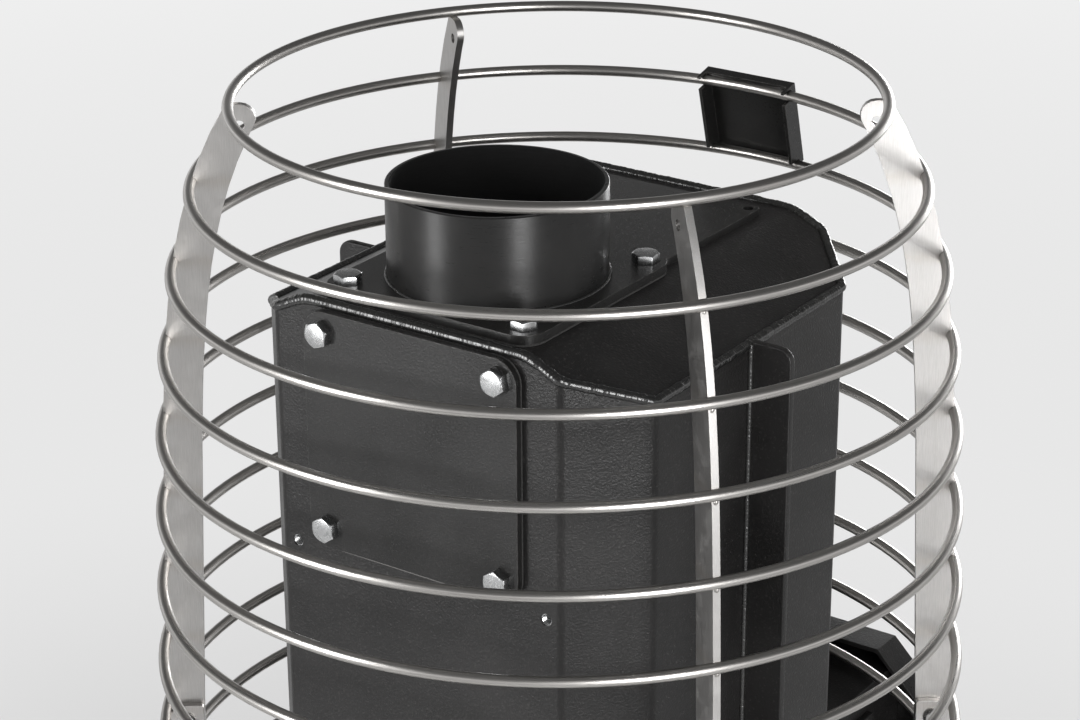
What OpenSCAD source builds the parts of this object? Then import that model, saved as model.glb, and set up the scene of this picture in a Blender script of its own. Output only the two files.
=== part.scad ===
// Sauna heater stove: a wood-burning firebox inside a hive-shaped cage of steel rods
// that holds the stones. Millimetres, +Z up, the floor at z = 0. The door looks along -Y.

/* [Cage] */
// Diameter of the round rods that the rings are bent from
rod_d = 6; // [4:0.5:8]
// Height from one ring to the next
ring_pitch = 45; // [42:0.5:48]
// Centreline radius of the top ring
cage_top_r = 171; // [160:1:185]
// Centreline radius at the joint of the upper and lower cage
cage_belly_r = 223; // [215:1:232]
// Centreline radius of the lowest ring
cage_base_r = 195; // [188:1:205]
// Thickness of the flat ribs
rib_t = 4; // [3:0.5:6]
// Radial width of the flat ribs
rib_w = 21; // [18:0.5:26]
// Angle of the ribs from the side axis
rib_angle = 35; // [32:1:38]
// Drop of the joint screws below the lowest ring of the upper cage
joint_drop = 7; // [6:0.5:9]
// Overlap of the lower ribs on the upper ribs, above and below the screw
joint_lap = 10; // [8:0.5:12]
// Thread diameter of the joint screws
screw_d = 6; // [5:0.5:6]

/* [Base] */
// Height of the feet below the base plate
foot_h = 40; // [25:1:60]
// Diameter of a foot's pad
foot_d = 40; // [30:1:50]
// Distance of the feet's middles from the rim of the base plate
foot_inset = 40; // [24:1:45]
// Thickness of the base plate
base_t = 4; // [3:0.5:6]
// Height of the lowest ring and of the tunnel above the base plate
base_gap = 16; // [12:0.5:22]

/* [Firebox] */
// Width over the side walls
box_w = 244; // [232:1:256]
// Depth over the front and back walls
box_d = 257; // [250:1:266]
// Width of the flat front and back faces
box_face_w = 178; // [178:1:190]
// Depth of the flat side faces
box_side_w = 186; // [176:1:196]
// Thickness of the firebox plates
box_wall = 5; // [4:0.5:6]
// Bend radius of the upright edges
box_bend_r = 7; // [5.5:0.5:10]
// Depth of the flat top below the top ring
top_drop = 86; // [78:1:96]
// Width of the flat part of the top
top_flat_w = 128; // [120:1:134]
// Slope of the two shoulders
top_slope = 25; // [18:1:28]
// Outer radius of the fold between flat top and shoulder
top_fold_r = 25; // [15:1:35]
// Width of the side fins
fin_w = 24; // [18:1:30]
// Thickness of the side fins
fin_t = 4.5; // [3:0.5:6]

/* [Flue] */
// Outer diameter of the flue collar
flue_d = 115; // [100:1:118]
// Wall of the flue collar
flue_wall = 3; // [2:0.5:4]
// Height of the flue collar above its flange
flue_h = 50; // [35:1:70]
// Distance from the flange's edge to the back edge of the top
flue_edge = 7; // [4:0.5:12]
// Corner radius of flange and cover
flange_r = 13; // [9:0.5:16]
// Thickness of the flange
flange_t = 5; // [4:0.5:8]
// Thickness of the blanking cover
cover_t = 4; // [3:0.5:6]
// Thickness of the sealing gaskets
gasket_t = 1; // [0.5:0.25:2]
// Spacing of the bolts in flange and cover
bolt_pitch = 110; // [106:0.5:112]
// Distance from the bolts to the edge of flange and cover
bolt_edge = 11.5; // [10:0.5:13]
// Thread diameter of the bolts
bolt_d = 8; // [6:1:8]
// Distance from the flat top down to the cover
cover_edge = 2.5; // [2:0.5:12]

/* [Rear fixing] */
// Distance from the two threaded holes to the edges of the flat back face
fixing_edge = 9; // [8:0.5:14]
// Distance from the cover down to the threaded holes
fixing_gap = 5; // [4:0.5:12]
// Thread diameter of the nuts behind the holes
fixing_d = 6; // [5:1:8]

/* [Door casing] */
// Width of the casing
casing_w = 235; // [225:1:245]
// Depth of the casing from front to back
casing_d = 23; // [16:1:30]
// Sheet thickness of casing and tunnel
sheet_t = 3; // [2:0.5:4]
// Chamfer of the casing's corners
casing_chamfer = 35; // [25:1:38]
// Outer width of the tunnel
tunnel_w = 176; // [170:1:178]
// Clear height for the ash drawer
drawer_space = 79; // [72:1:84]

/* [Door] */
// Thickness of the door frame
door_t = 10; // [9:0.5:14]
// Overlap of the door on the casing round the opening
door_lap = 10; // [9:0.5:11]
// Width of the frame round the window
window_border = 33; // [30:1:40]
// Thickness of the glass
glass_t = 4; // [3:0.5:5]
// Diameter of the hinge pins
pin_d = 6; // [5:0.5:8]
// Diameter of the knob
knob_d = 30; // [24:1:36]
// Length of the knob with its neck
knob_l = 40; // [32:1:50]

/* [Plates on the cage and top] */
// Width of the bare plate on the front of the cage
badge_w = 58; // [40:1:80]
// Height of the bare plate
badge_h = 52; // [50:0.5:54]
// Thickness of the bare plate
badge_t = 2; // [1.5:0.5:3]
// Width of the strip plate in front of the flue
strip_w = 120; // [90:1:126]
// Thickness of the strip plate
strip_t = 4; // [3:0.5:5]

/* [Hidden] */
$fn = 64;

// Fits and overruns
over = 2;
weld_fit = 0.05;
notch_fit = 0.1;
run_fit = 0.05;
body_gap = 0.3;

// Counts
upper_rings = 9;
lower_rings = 8;
ring_count = upper_rings + lower_rings;

// Heights of cage and base
base_top = foot_h + base_t;
low_z = base_top + base_gap;
rod_r = rod_d / 2;

function ring_z(i) = low_z + (ring_count - i) * ring_pitch;

joint_z = ring_z(upper_rings) - joint_drop;

// Bulge of the cage: a straight taper and a sixth power, that draws in near the ends
taper_share = 0.28;

function bulge(t) = taper_share * t + (1 - taper_share) * pow(t, 6);

function cage_r(z) =
    z > joint_z
    ? cage_belly_r - (cage_belly_r - cage_top_r) * bulge((z - joint_z) / (ring_z(1) - joint_z))
    : cage_belly_r - (cage_belly_r - cage_base_r) * bulge((joint_z - z) / (joint_z - low_z));

function ring_r(i) = cage_r(ring_z(i));

cage_reach = max([for (i = [1 : ring_count]) ring_r(i)]) + rod_r;

// Ribs
rib_names = ["rear_right", "rear_left", "front_left", "front_right"];
rib_steps = 24;
rib_top_z = ring_z(1) - 0.9 * rod_r;
rib_corner_r = 8;
rib_hole_d = 5.5;
rib_hole_drop = 11.5;
rib_hole_share = 0.36;
lap_corner_r = 12;
screw_inset = 12;
screw_hole_d = screw_d + 0.4;
screw_head_d = 1.75 * screw_d;
screw_head_h = 0.55 * screw_d;
screw_key_d = 0.77 * screw_d;
nut_h = 0.8 * screw_d;
nut_d = 1.92 * screw_d;
lower_rib_y = rib_t + weld_fit;

// Firebox
half_w = box_w / 2;
half_d = box_d / 2;
top_z = ring_z(1) - top_drop;
fin_y = 2.5;
fin_drop = 22;
fin_lift = 60;
fin_corner_r = 7.5;
plate_arc_steps = 6;

// Flue and cover
flange_w = bolt_pitch + 2 * bolt_edge;
flue_y = half_d - flange_w / 2 - flue_edge;
flue_bore = flue_d - 2 * flue_wall;
flange_z = top_z + gasket_t;
collar_z = flange_z + flange_t;
cover_z = top_z - cover_edge - flange_w / 2;
bolt_grip = 14;
bolt_hole_d = bolt_d + 0.2;
bolt_head_d = 1.876 * bolt_d;
bolt_head_h = 0.66 * bolt_d;
fixing_z = cover_z - flange_w / 2 - fixing_gap;
fixing_pitch = box_face_w - 2 * fixing_edge;
fixing_hole_d = 1.1 * fixing_d;
fixing_bore = 0.83 * fixing_d;
fixing_nut_d = 1.92 * fixing_d;
fixing_nut_h = 0.8 * fixing_d;

// Strip plate
strip_edge = 18.5;
strip_front_y = strip_edge - half_d;
strip_gap = 1.5;
strip_corner_r = 4;
strip_hole_d = 6;
strip_hole_inset = 5.5;

// Tunnel, casing and the openings in them
tunnel_low_z = low_z;
tunnel_drop = 10;
tunnel_top_z = ring_z(upper_rings + 1) - rod_r - tunnel_drop;
tunnel_in_w = tunnel_w - 2 * sheet_t;
floor_z = tunnel_low_z + sheet_t;
shelf_z = floor_z + drawer_space;
shelf_top_z = shelf_z + sheet_t;
casing_gap = 2;
casing_back_y = -(cage_reach + casing_gap);
casing_front_y = casing_back_y - casing_d;
casing_low_z = base_top + 6;
casing_brow = 14.5;
casing_top_z = tunnel_top_z + casing_brow;
opening_lip = 8;
opening_w = tunnel_in_w - 2 * opening_lip;
opening_low_z = shelf_top_z + opening_lip;
opening_top_z = tunnel_top_z - sheet_t - opening_lip;
post_w = 21;
post_x = tunnel_w / 2 + weld_fit;
post_drop = 30;

// Grate, baffle and ledges
grate_t = 12;
grate_gap = 1.5;
grate_bars = 11;
grate_slot_share = 0.45;
grate_rim = 18;
ledge_w = 12;
ledge_t = 5;
ledge_end_gap = 8;
ledge_l = box_side_w - 2 * ledge_end_gap;
baffle_t = 8;
baffle_room = 16.5;
baffle_z = fixing_z - baffle_room - baffle_t;
baffle_front_gap = 53.5;
baffle_front_y = baffle_front_gap - half_d;
ash_floor_t = 3;

// Door
door_gap = 1;
door_w = opening_w + 2 * door_lap;
door_low_z = opening_low_z - door_lap;
door_top_z = opening_top_z + door_lap;
door_h = door_top_z - door_low_z;
door_mid_z = (door_low_z + door_top_z) / 2;
door_back_y = casing_front_y - door_gap;
door_front_y = door_back_y - door_t;
door_corner_r = 10;
window_w = door_w - 2 * window_border;
window_h = door_h - 2 * window_border;
window_r = 8;
pocket_lip = 8;
glass_fit = 1;
seal_w = 6;
seal_depth = 2;
seal_inset = 2;
clip_w = 14;
clip_h = 16;
clip_t = 1.5;
clip_x_share = 0.55;
clip_rivet_d = 6;
clip_rivet_h = 2;

// Hinges
knuckle_r = pin_d;
hinge_gap = 1;
hinge_x = -(door_w / 2 + knuckle_r + hinge_gap);
hinge_y = casing_front_y - knuckle_r - hinge_gap;
hinge_low_h = 16;
hinge_up_h = 22;
hinge_z_share = 0.3;
pin_head_r = 5;
pin_head_h = 2;

// Catch
catch_h = 24;
catch_t = 1.5;
catch_x = opening_w / 2 - 5;
catch_r = 3.6;
catch_tail = tunnel_in_w / 2 - weld_fit - (catch_x + catch_r - catch_t);

// Knobs
knob_x = door_w / 2 - window_border / 2;
knob_neck_d = 9;
knob_base_d = 18;
drawer_knob_share = 0.8;

// Ash drawer
runner_w = 12;
runner_h = 3;
runner_x = 60;
drawer_side_gap = 3;
drawer_t = 2;
drawer_h = 58;
drawer_back_room = 23.5;
drawer_back_y = half_d - box_wall - drawer_back_room;
drawer_w = opening_w - 2 * drawer_side_gap;
drawer_front_t = 3;
drawer_front_gap = 4;
drawer_front_low_z = floor_z - 6;
drawer_front_top_z = door_low_z - drawer_front_gap;
drawer_opening_top_z = drawer_front_top_z - 8;
drawer_z = floor_z + runner_h + body_gap;
drawer_back_gap = 1;
air_slots = 5;
air_slot_w = 22;
air_slot_h = 4;
air_slot_pitch = 28;
drawer_y = casing_front_y - drawer_back_gap;

// Bare plate on the front of the cage
badge_lean = atan((ring_r(3) - ring_r(2)) / ring_pitch);
badge_y = -(ring_r(2) + ring_r(3)) / 2;
badge_z = (ring_z(2) + ring_z(3)) / 2;
badge_rise = 2.6;
badge_return = 13;
badge_lip = 6;
badge_slot_fit = 0.4;

// Base and feet
base_rim = 5;
base_r = cage_base_r + base_rim;
foot_r = base_r - foot_inset;
foot_pad_h = 6;
foot_stud_d = 10;
foot_flat_d = 17;
foot_flat_h = 7;
foot_angle = 45;

// The part stands with its middle over the origin: the door's knob reaches further than the back
reach_front = -door_front_y + knob_l;
axis_y = (reach_front - cage_reach) / 2;

function ring_name(i) = str("ring_", i < 10 ? "0" : "", i);

// Outline helpers

function unit_vector(v) = v / norm(v);

// Points of the arc that rounds the corner b between its neighbours a and c
function corner_arc(a, b, c, r) =
    let (
        u = unit_vector(a - b),
        v = unit_vector(c - b),
        half = acos(u * v) / 2,
        centre = b + unit_vector(u + v) * r / sin(half),
        first = b + u * r / tan(half) - centre,
        last = b + v * r / tan(half) - centre,
        start = atan2(first[1], first[0]),
        turn = sign(cross(first, last)) * (180 - 2 * half)
    )
    [
        for (i = [0 : plate_arc_steps])
            let (angle = start + turn * i / plate_arc_steps)
            centre + r * [cos(angle), sin(angle)]
    ];

function rounded(points, r) =
    let (n = len(points))
    [for (i = [0 : n - 1]) each corner_arc(points[(i + n - 1) % n], points[i], points[(i + 1) % n], r)];

// Firebox plan, an octagon drawn in by inset
function box_corners(inset) =
    let (
        w = half_w - inset,
        d = half_d - inset,
        cut = sqrt(pow(half_w - box_face_w / 2, 2) + pow(half_d - box_side_w / 2, 2)),
        face = box_face_w / 2 - inset * (cut - (half_d - box_side_w / 2)) / (half_w - box_face_w / 2),
        side = box_side_w / 2 - inset * (cut - (half_w - box_face_w / 2)) / (half_d - box_side_w / 2)
    )
    [[w, side], [face, d], [-face, d], [-w, side], [-w, -side], [-face, -d], [face, -d], [w, -side]];

module box_plan(inset) {
    polygon(rounded(box_corners(inset), max(box_bend_r - inset, box_bend_r - box_wall)));
}

// Casing outline with chamfered corners, drawn in by inset
function casing_outline(inset) =
    let (
        w = casing_w / 2 - inset,
        low = casing_low_z + inset,
        high = casing_top_z - inset,
        cut = casing_chamfer - inset * (2 - sqrt(2))
    )
    [
        [w - cut, low], [w, low + cut], [w, high - cut], [w - cut, high],
        [cut - w, high], [-w, high - cut], [-w, low + cut], [cut - w, low]
    ];

module round_rect(w, h, r) {
    square([w - 2 * r, h], center = true);
    square([w, h - 2 * r], center = true);
    for (x = [-1, 1], y = [-1, 1])
        translate([x * (w / 2 - r), y * (h / 2 - r)])
            circle(r);
}

// Stands an outline drawn in x and z upright, its back at y_back
module standing(y_back, depth) {
    translate([0, y_back, 0])
        rotate([90, 0, 0])
            linear_extrude(depth)
                children();
}

// Everything is drawn about the cage axis and then moved over the part's origin
module about_axis(tint) {
    color(tint)
        translate([0, axis_y, 0])
            children();
}

// Cage

module ring(i) {
    about_axis("silver")
        difference() {
            translate([0, 0, ring_z(i)])
                rotate_extrude($fn = 120)
                    translate([ring_r(i), 0])
                        circle(rod_r, $fn = 24);
            if (i > upper_rings + 1)
                translate([-post_x - rib_t, -cage_reach - over, ring_z(i) - rod_d])
                    cube([2 * (post_x + rib_t), cage_reach, 2 * rod_d]);
        }
}

// Radius of the cage's rods in a rib's own plane, which may lie beside the axis
function rib_r(z, beside) = sqrt(pow(cage_r(z), 2) - pow(beside, 2));

function rib_edge(z_from, z_to, beside, inset) =
    [
        for (i = [0 : rib_steps])
            let (z = z_from + (z_to - z_from) * i / rib_steps)
            [rib_r(z, beside) - inset, z]
    ];

// Rib outline in radius and height, with an arc at its inner or outer top corner
function rib_outline(z_low, z_high, beside, inner_r, outer_r) =
    let (
        outer = rib_edge(z_low, z_high - outer_r, beside, 0),
        inner = rib_edge(z_high - 2 * inner_r, z_low, beside, rib_w),
        outer_top = [rib_r(z_high, beside), z_high],
        inner_top = [rib_r(z_high, beside) - rib_w, z_high]
    )
    concat(
        outer,
        corner_arc(outer[rib_steps], outer_top, inner_top, outer_r),
        corner_arc(outer_top, inner_top, inner[0], inner_r),
        inner
    );

module rib_plate(z_low, z_high, beside, inner_r, outer_r, first_ring, last_ring) {
    difference() {
        polygon(rib_outline(z_low, z_high, beside, inner_r, outer_r));
        for (i = [first_ring : last_ring])
            translate([rib_r(ring_z(i), beside), ring_z(i)])
                circle(rod_r + notch_fit, $fn = 32);
        translate([cage_r(joint_z) - screw_inset, joint_z])
            circle(d = screw_hole_d);
    }
}

// Puts an upright radial outline at one of the four ribs
module at_rib(index) {
    left = index == 1 || index == 2;
    mirror([left ? 1 : 0, 0, 0])
        rotate([0, 0, index < 2 ? rib_angle : -rib_angle])
            children();
}

module upper_rib(index) {
    about_axis("gainsboro")
        at_rib(index)
            standing(rib_t / 2, rib_t)
                difference() {
                    rib_plate(joint_z - joint_lap, rib_top_z, 0, rib_corner_r, 1, 1, upper_rings);
                    translate([
                        cage_r(rib_top_z - rib_hole_drop) - (1 - rib_hole_share) * rib_w,
                        rib_top_z - rib_hole_drop
                    ])
                        circle(d = rib_hole_d);
                }
}

module lower_rib(index) {
    about_axis("gainsboro")
        at_rib(index)
            standing(lower_rib_y + rib_t / 2, rib_t)
                rib_plate(base_top, joint_z + joint_lap, lower_rib_y, 2, lap_corner_r,
                    upper_rings, ring_count);
}

// Lays a screw's own axis square to the rib at the joint, pointing to the rear
module at_joint(index) {
    at_rib(index)
        translate([cage_r(joint_z) - screw_inset, 0, joint_z])
            rotate([-90, 0, 0])
                children();
}

module button_head() {
    difference() {
        rotate_extrude()
            polygon([
                [0, 0], [screw_head_d / 2, 0], [0.97 * screw_head_d / 2, 0.35 * screw_head_h],
                [0.8 * screw_head_d / 2, 0.75 * screw_head_h], [0.5 * screw_head_d / 2, screw_head_h],
                [0, screw_head_h]
            ]);
        translate([0, 0, screw_head_h / 3])
            cylinder(h = screw_head_h, d = screw_key_d, $fn = 6);
    }
}

module rib_screws() {
    about_axis("lightgray")
        for (index = [0 : 3])
            at_joint(index) {
                translate([0, 0, lower_rib_y + rib_t / 2])
                    button_head();
                translate([0, 0, -rib_t / 2 - nut_h - screw_d / 4])
                    cylinder(h = lower_rib_y + rib_t + nut_h + screw_d / 4, d = screw_d);
            }
}

module rib_nuts() {
    about_axis("lightgray")
        for (index = [0 : 3])
            at_joint(index)
                translate([0, 0, -rib_t / 2 - nut_h])
                    difference() {
                        cylinder(h = nut_h, d = nut_d, $fn = 6);
                        translate([0, 0, -over])
                            cylinder(h = nut_h + 2 * over, d = screw_d + 2 * weld_fit);
                    }
}

// The rings that the door interrupts end on these two upright plates beside the tunnel
module front_post(side) {
    steps = 12;
    high = ring_z(upper_rings + 1) - post_drop;
    outer = [
        for (i = [0 : steps])
            let (z = base_top + (high - base_top) * i / steps)
            [z, sqrt(pow(cage_r(z), 2) - pow(post_x, 2)) + rod_r + 1]
    ];
    inner = [for (i = [steps : -1 : 0]) [outer[i][0], outer[i][1] - post_w]];
    about_axis("dimgray")
        translate([side > 0 ? post_x : -post_x - rib_t, 0, 0])
            rotate([0, -90, 180])
                linear_extrude(rib_t)
                    polygon(concat(outer, inner));
}

// Bare plate clipped over two rods, with bent-in sides that are slotted for the rods
module badge_plate() {
    rod_up = norm([ring_pitch, ring_r(3) - ring_r(2)]) / 2;
    side_sag = ring_r(2) - sqrt(pow(ring_r(2), 2) - pow(badge_w / 2, 2));
    face_y = -rod_r - notch_fit - badge_t;
    about_axis("dimgray")
        translate([0, badge_y, badge_z])
            rotate([-badge_lean, 0, 0])
                difference() {
                    translate([0, 0, badge_rise - badge_h / 2])
                        union() {
                            translate([-badge_w / 2, face_y, 0])
                                cube([badge_w, badge_t, badge_h]);
                            for (x = [-badge_w / 2, badge_w / 2 - badge_t])
                                translate([x, face_y, 0])
                                    cube([badge_t, badge_return, badge_h]);
                            translate([-badge_w / 2, face_y, badge_h - badge_t])
                                cube([badge_w, badge_lip, badge_t]);
                        }
                    for (side = [-1, 1], up = [-rod_up, rod_up])
                        translate([
                            side * badge_w / 2 - rod_d,
                            side_sag * cos(badge_lean),
                            up + side_sag * sin(badge_lean)
                        ]) {
                            rotate([0, 90, 0])
                                cylinder(h = 2 * rod_d, r = rod_r + badge_slot_fit, $fn = 32);
                            translate([0, 0, -rod_r - badge_slot_fit])
                                cube([2 * rod_d, badge_return, rod_d + 2 * badge_slot_fit]);
                        }
                }
}

// Firebox

// Points of the folded top's upper face from the middle to beyond the side wall, lowered by depth
function fold_side(depth) =
    let (
        r = top_fold_r - depth,
        x_end = top_flat_w / 2 + r * sin(top_slope),
        z_end = top_z - top_fold_r + r * cos(top_slope),
        x_out = half_w + over
    )
    concat(
        [
            for (i = [0 : plate_arc_steps])
                let (angle = top_slope * i / plate_arc_steps)
                [top_flat_w / 2 + r * sin(angle), top_z - top_fold_r + r * cos(angle)]
        ],
        [[x_out, z_end - (x_out - x_end) * tan(top_slope)]]
    );

function mirrored(points) = [for (i = [len(points) - 1 : -1 : 0]) [-points[i][0], points[i][1]]];

function fold_line(depth) = concat(mirrored(fold_side(depth)), fold_side(depth));

module above_fold(depth) {
    standing(half_d + over, box_d + 2 * over)
        polygon(concat(fold_line(depth), [[half_w + over, top_z + over], [-half_w - over, top_z + over]]));
}

module firebox_shell() {
    about_axis([0.13, 0.13, 0.13])
        difference() {
            translate([0, 0, base_top])
                linear_extrude(top_z - base_top)
                    difference() {
                        box_plan(0);
                        box_plan(box_wall);
                    }
            above_fold(box_wall);
            translate([-tunnel_in_w / 2, -half_d - over, floor_z])
                cube([tunnel_in_w, box_wall + 2 * over, tunnel_top_z - sheet_t - floor_z]);
            standing(half_d + over, box_wall + 2 * over) {
                translate([0, cover_z])
                    circle(d = flue_bore);
                translate([0, cover_z])
                    bolt_places()
                        circle(d = bolt_hole_d);
                for (x = [-1, 1])
                    translate([x * fixing_pitch / 2, fixing_z])
                        circle(d = fixing_hole_d);
            }
        }
}

module bolt_places() {
    for (x = [-1, 1], y = [-1, 1])
        translate([x * bolt_pitch / 2, y * bolt_pitch / 2])
            children();
}

module firebox_top() {
    about_axis([0.13, 0.13, 0.13])
        difference() {
            intersection() {
                translate([0, 0, base_top])
                    linear_extrude(top_z - base_top + over)
                        box_plan(0);
                standing(half_d + over, box_d + 2 * over)
                    polygon(concat(fold_line(0), [
                        for (i = [2 * plate_arc_steps + 3 : -1 : 0]) fold_line(box_wall)[i]
                    ]));
            }
            translate([0, flue_y, top_z - 2 * box_wall])
                linear_extrude(3 * box_wall) {
                    circle(d = flue_bore);
                    bolt_places()
                        circle(d = bolt_hole_d);
                }
        }
}

module ash_floor() {
    about_axis([0.2, 0.2, 0.2])
        translate([0, 0, tunnel_low_z])
            linear_extrude(ash_floor_t)
                box_plan(box_wall + weld_fit);
}

module side_fins() {
    high = top_z - fin_drop;
    about_axis([0.13, 0.13, 0.13])
        for (side = [0, 1])
            mirror([side, 0, 0])
                standing(fin_y + fin_t / 2, fin_t)
                    polygon(concat(
                        [
                            [half_w, base_top + fin_lift],
                            [half_w + fin_w, base_top + fin_lift]
                        ],
                        corner_arc(
                            [half_w + fin_w, base_top],
                            [half_w + fin_w, high],
                            [half_w, high],
                            fin_corner_r
                        ),
                        [[half_w, high]]
                    ));
}

// Flue collar, flange and the equal blanking cover on the back

module flue_collar() {
    about_axis([0.16, 0.16, 0.16])
        translate([0, flue_y, collar_z])
            difference() {
                cylinder(h = flue_h, d = flue_d, $fn = 128);
                translate([0, 0, -over])
                    cylinder(h = flue_h + 2 * over, d = flue_bore, $fn = 128);
            }
}

module square_plate(thickness, bore_d) {
    linear_extrude(thickness)
        difference() {
            round_rect(flange_w, flange_w, flange_r);
            circle(d = bore_d);
            bolt_places()
                circle(d = bolt_hole_d);
        }
}

module flue_flange() {
    about_axis([0.16, 0.16, 0.16])
        translate([0, flue_y, flange_z])
            square_plate(flange_t, flue_bore);
}

module at_cover(y) {
    translate([0, y, cover_z])
        rotate([-90, 0, 0])
            children();
}

module plate_gaskets() {
    about_axis("gray") {
        translate([0, flue_y, top_z])
            square_plate(gasket_t, flue_bore);
        at_cover(half_d)
            square_plate(gasket_t, flue_bore);
    }
}

module rear_cover() {
    about_axis([0.13, 0.13, 0.13])
        at_cover(half_d + gasket_t)
            linear_extrude(cover_t)
                difference() {
                    round_rect(flange_w, flange_w, flange_r);
                    bolt_places()
                        circle(d = bolt_hole_d);
                }
}

module hex_bolt() {
    translate([0, 0, -bolt_grip])
        cylinder(h = bolt_grip, d = bolt_d);
    cylinder(h = bolt_head_h, d = bolt_head_d, $fn = 6);
}

module plate_bolts() {
    about_axis("silver") {
        translate([0, flue_y, collar_z])
            bolt_places()
                hex_bolt();
        at_cover(half_d + gasket_t + cover_t)
            bolt_places()
                hex_bolt();
    }
}

module fixing_nuts() {
    about_axis("silver")
        for (x = [-1, 1])
            translate([x * fixing_pitch / 2, half_d - box_wall, fixing_z])
                rotate([90, 0, 0])
                    difference() {
                        cylinder(h = fixing_nut_h, d = fixing_nut_d, $fn = 6);
                        translate([0, 0, -over])
                            cylinder(h = fixing_nut_h + 2 * over, d = fixing_bore);
                    }
}

module top_strip() {
    back_y = flue_y - flange_w / 2 - strip_gap;
    depth = back_y - strip_front_y;
    about_axis([0.16, 0.16, 0.16])
        translate([0, strip_front_y + depth / 2, top_z])
            linear_extrude(strip_t)
                difference() {
                    round_rect(strip_w, depth, strip_corner_r);
                    for (x = [-1, 1])
                        translate([
                            x * (strip_w / 2 - strip_hole_inset),
                            strip_hole_inset - depth / 2
                        ])
                            circle(d = strip_hole_d);
                }
}

// Inside the firebox

module smoke_baffle() {
    about_axis("sienna")
        translate([0, 0, baffle_z])
            linear_extrude(baffle_t)
                intersection() {
                    box_plan(box_wall + grate_gap);
                    translate([-half_w, baffle_front_y])
                        square([box_w, box_d]);
                }
}

module firebox_ledges() {
    about_axis([0.2, 0.2, 0.2])
        for (z = [shelf_top_z - grate_t, baffle_z], side = [-1, 1])
            translate([side * (half_w - box_wall - ledge_w / 2), 0, z - ledge_t / 2])
                cube([ledge_w, ledge_l, ledge_t], center = true);
}

module fire_grate() {
    inside = box_w - 2 * (box_wall + grate_gap + grate_rim);
    pitch = inside / grate_bars;
    slot = pitch * grate_slot_share;
    about_axis([0.22, 0.2, 0.19])
        translate([0, 0, shelf_top_z - grate_t])
            linear_extrude(grate_t)
                difference() {
                    box_plan(box_wall + grate_gap);
                    for (i = [0 : grate_bars - 1])
                        translate([(i - (grate_bars - 1) / 2) * pitch, 0])
                            square([slot, box_side_w - 2 * grate_rim], center = true);
                }
}

// Door tunnel and casing

module door_tunnel() {
    length = -half_d - casing_front_y - sheet_t;
    middle = (tunnel_low_z + tunnel_top_z) / 2;
    height = tunnel_top_z - tunnel_low_z;
    about_axis([0.13, 0.13, 0.13]) {
        standing(-half_d, length)
            translate([0, middle])
                difference() {
                    square([tunnel_w, height], center = true);
                    square([tunnel_in_w, height - 2 * sheet_t], center = true);
                }
        translate([-tunnel_in_w / 2, -half_d - length, shelf_z])
            cube([tunnel_in_w, length + box_wall, sheet_t]);
    }
}

module door_casing() {
    about_axis([0.13, 0.13, 0.13])
        difference() {
            standing(casing_back_y, casing_d)
                polygon(casing_outline(0));
            standing(casing_back_y + over, casing_d - sheet_t + over)
                polygon(casing_outline(sheet_t));
            translate([-opening_w / 2, casing_front_y - over, opening_low_z])
                cube([opening_w, casing_d, opening_top_z - opening_low_z]);
            translate([-opening_w / 2, casing_front_y - over, floor_z])
                cube([opening_w, casing_d, drawer_opening_top_z - floor_z]);
        }
}

// Door with its glass, seal, clips, hinges and knob

module door_frame() {
    pocket_t = glass_t + 2 * weld_fit;
    seal_out = 2 * seal_inset;
    about_axis([0.15, 0.15, 0.15])
        difference() {
            union() {
                standing(door_back_y, door_t)
                    translate([0, door_mid_z])
                        round_rect(door_w, door_h, door_corner_r);
                for (z = hinge_places())
                    translate([hinge_x, hinge_y, z]) {
                        cylinder(h = hinge_up_h, r = knuckle_r);
                        translate([0, -door_t / 3, 0])
                            cube([-hinge_x - door_w / 2 + over, 2 * door_t / 3, hinge_up_h]);
                    }
            }
            for (z = hinge_places())
                translate([hinge_x, hinge_y, z - over])
                    cylinder(h = hinge_up_h + 2 * over, d = pin_d + 2 * run_fit);
            standing(door_back_y + over, door_t + 2 * over)
                translate([0, door_mid_z])
                    round_rect(window_w, window_h, window_r);
            standing(door_back_y + over, pocket_t + over)
                translate([0, door_mid_z])
                    round_rect(window_w + 2 * pocket_lip, window_h + 2 * pocket_lip, window_r / 2);
            standing(door_back_y + over, seal_depth + over)
                translate([0, door_mid_z])
                    seal_outline(door_w - seal_out, door_h - seal_out, door_corner_r - seal_inset);
        }
}

module seal_outline(w, h, r) {
    difference() {
        round_rect(w, h, r);
        round_rect(w - 2 * seal_w, h - 2 * seal_w, r - seal_w / 2);
    }
}

module door_glass() {
    lip = 2 * (pocket_lip - glass_fit);
    about_axis([0.25, 0.22, 0.18, 0.6])
        standing(door_back_y - weld_fit, glass_t)
            translate([0, door_mid_z])
                round_rect(window_w + lip, window_h + lip, window_r / 4);
}

module door_seal() {
    out = 2 * seal_inset;
    reach = door_gap - body_gap;
    about_axis("darkgray")
        standing(door_back_y + reach, seal_depth + reach)
            translate([0, door_mid_z])
                seal_outline(door_w - out, door_h - out, door_corner_r - seal_inset);
}

module glass_clips() {
    edge = window_h / 2 + pocket_lip;
    about_axis("lightgray")
        for (x = [-1, 1], up = [-1, 1])
            translate([x * clip_x_share * window_w / 2, door_back_y, door_mid_z + up * edge])
                rotate([-90, 0, 0]) {
                    linear_extrude(clip_t)
                        round_rect(clip_w, clip_h, clip_t);
                    translate([0, -up * clip_h / 4, 0])
                        cylinder(h = clip_t + clip_rivet_h, d = clip_rivet_d);
                }
}

function hinge_places() = [for (up = [-1, 1]) door_mid_z + up * hinge_z_share * door_h];

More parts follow.
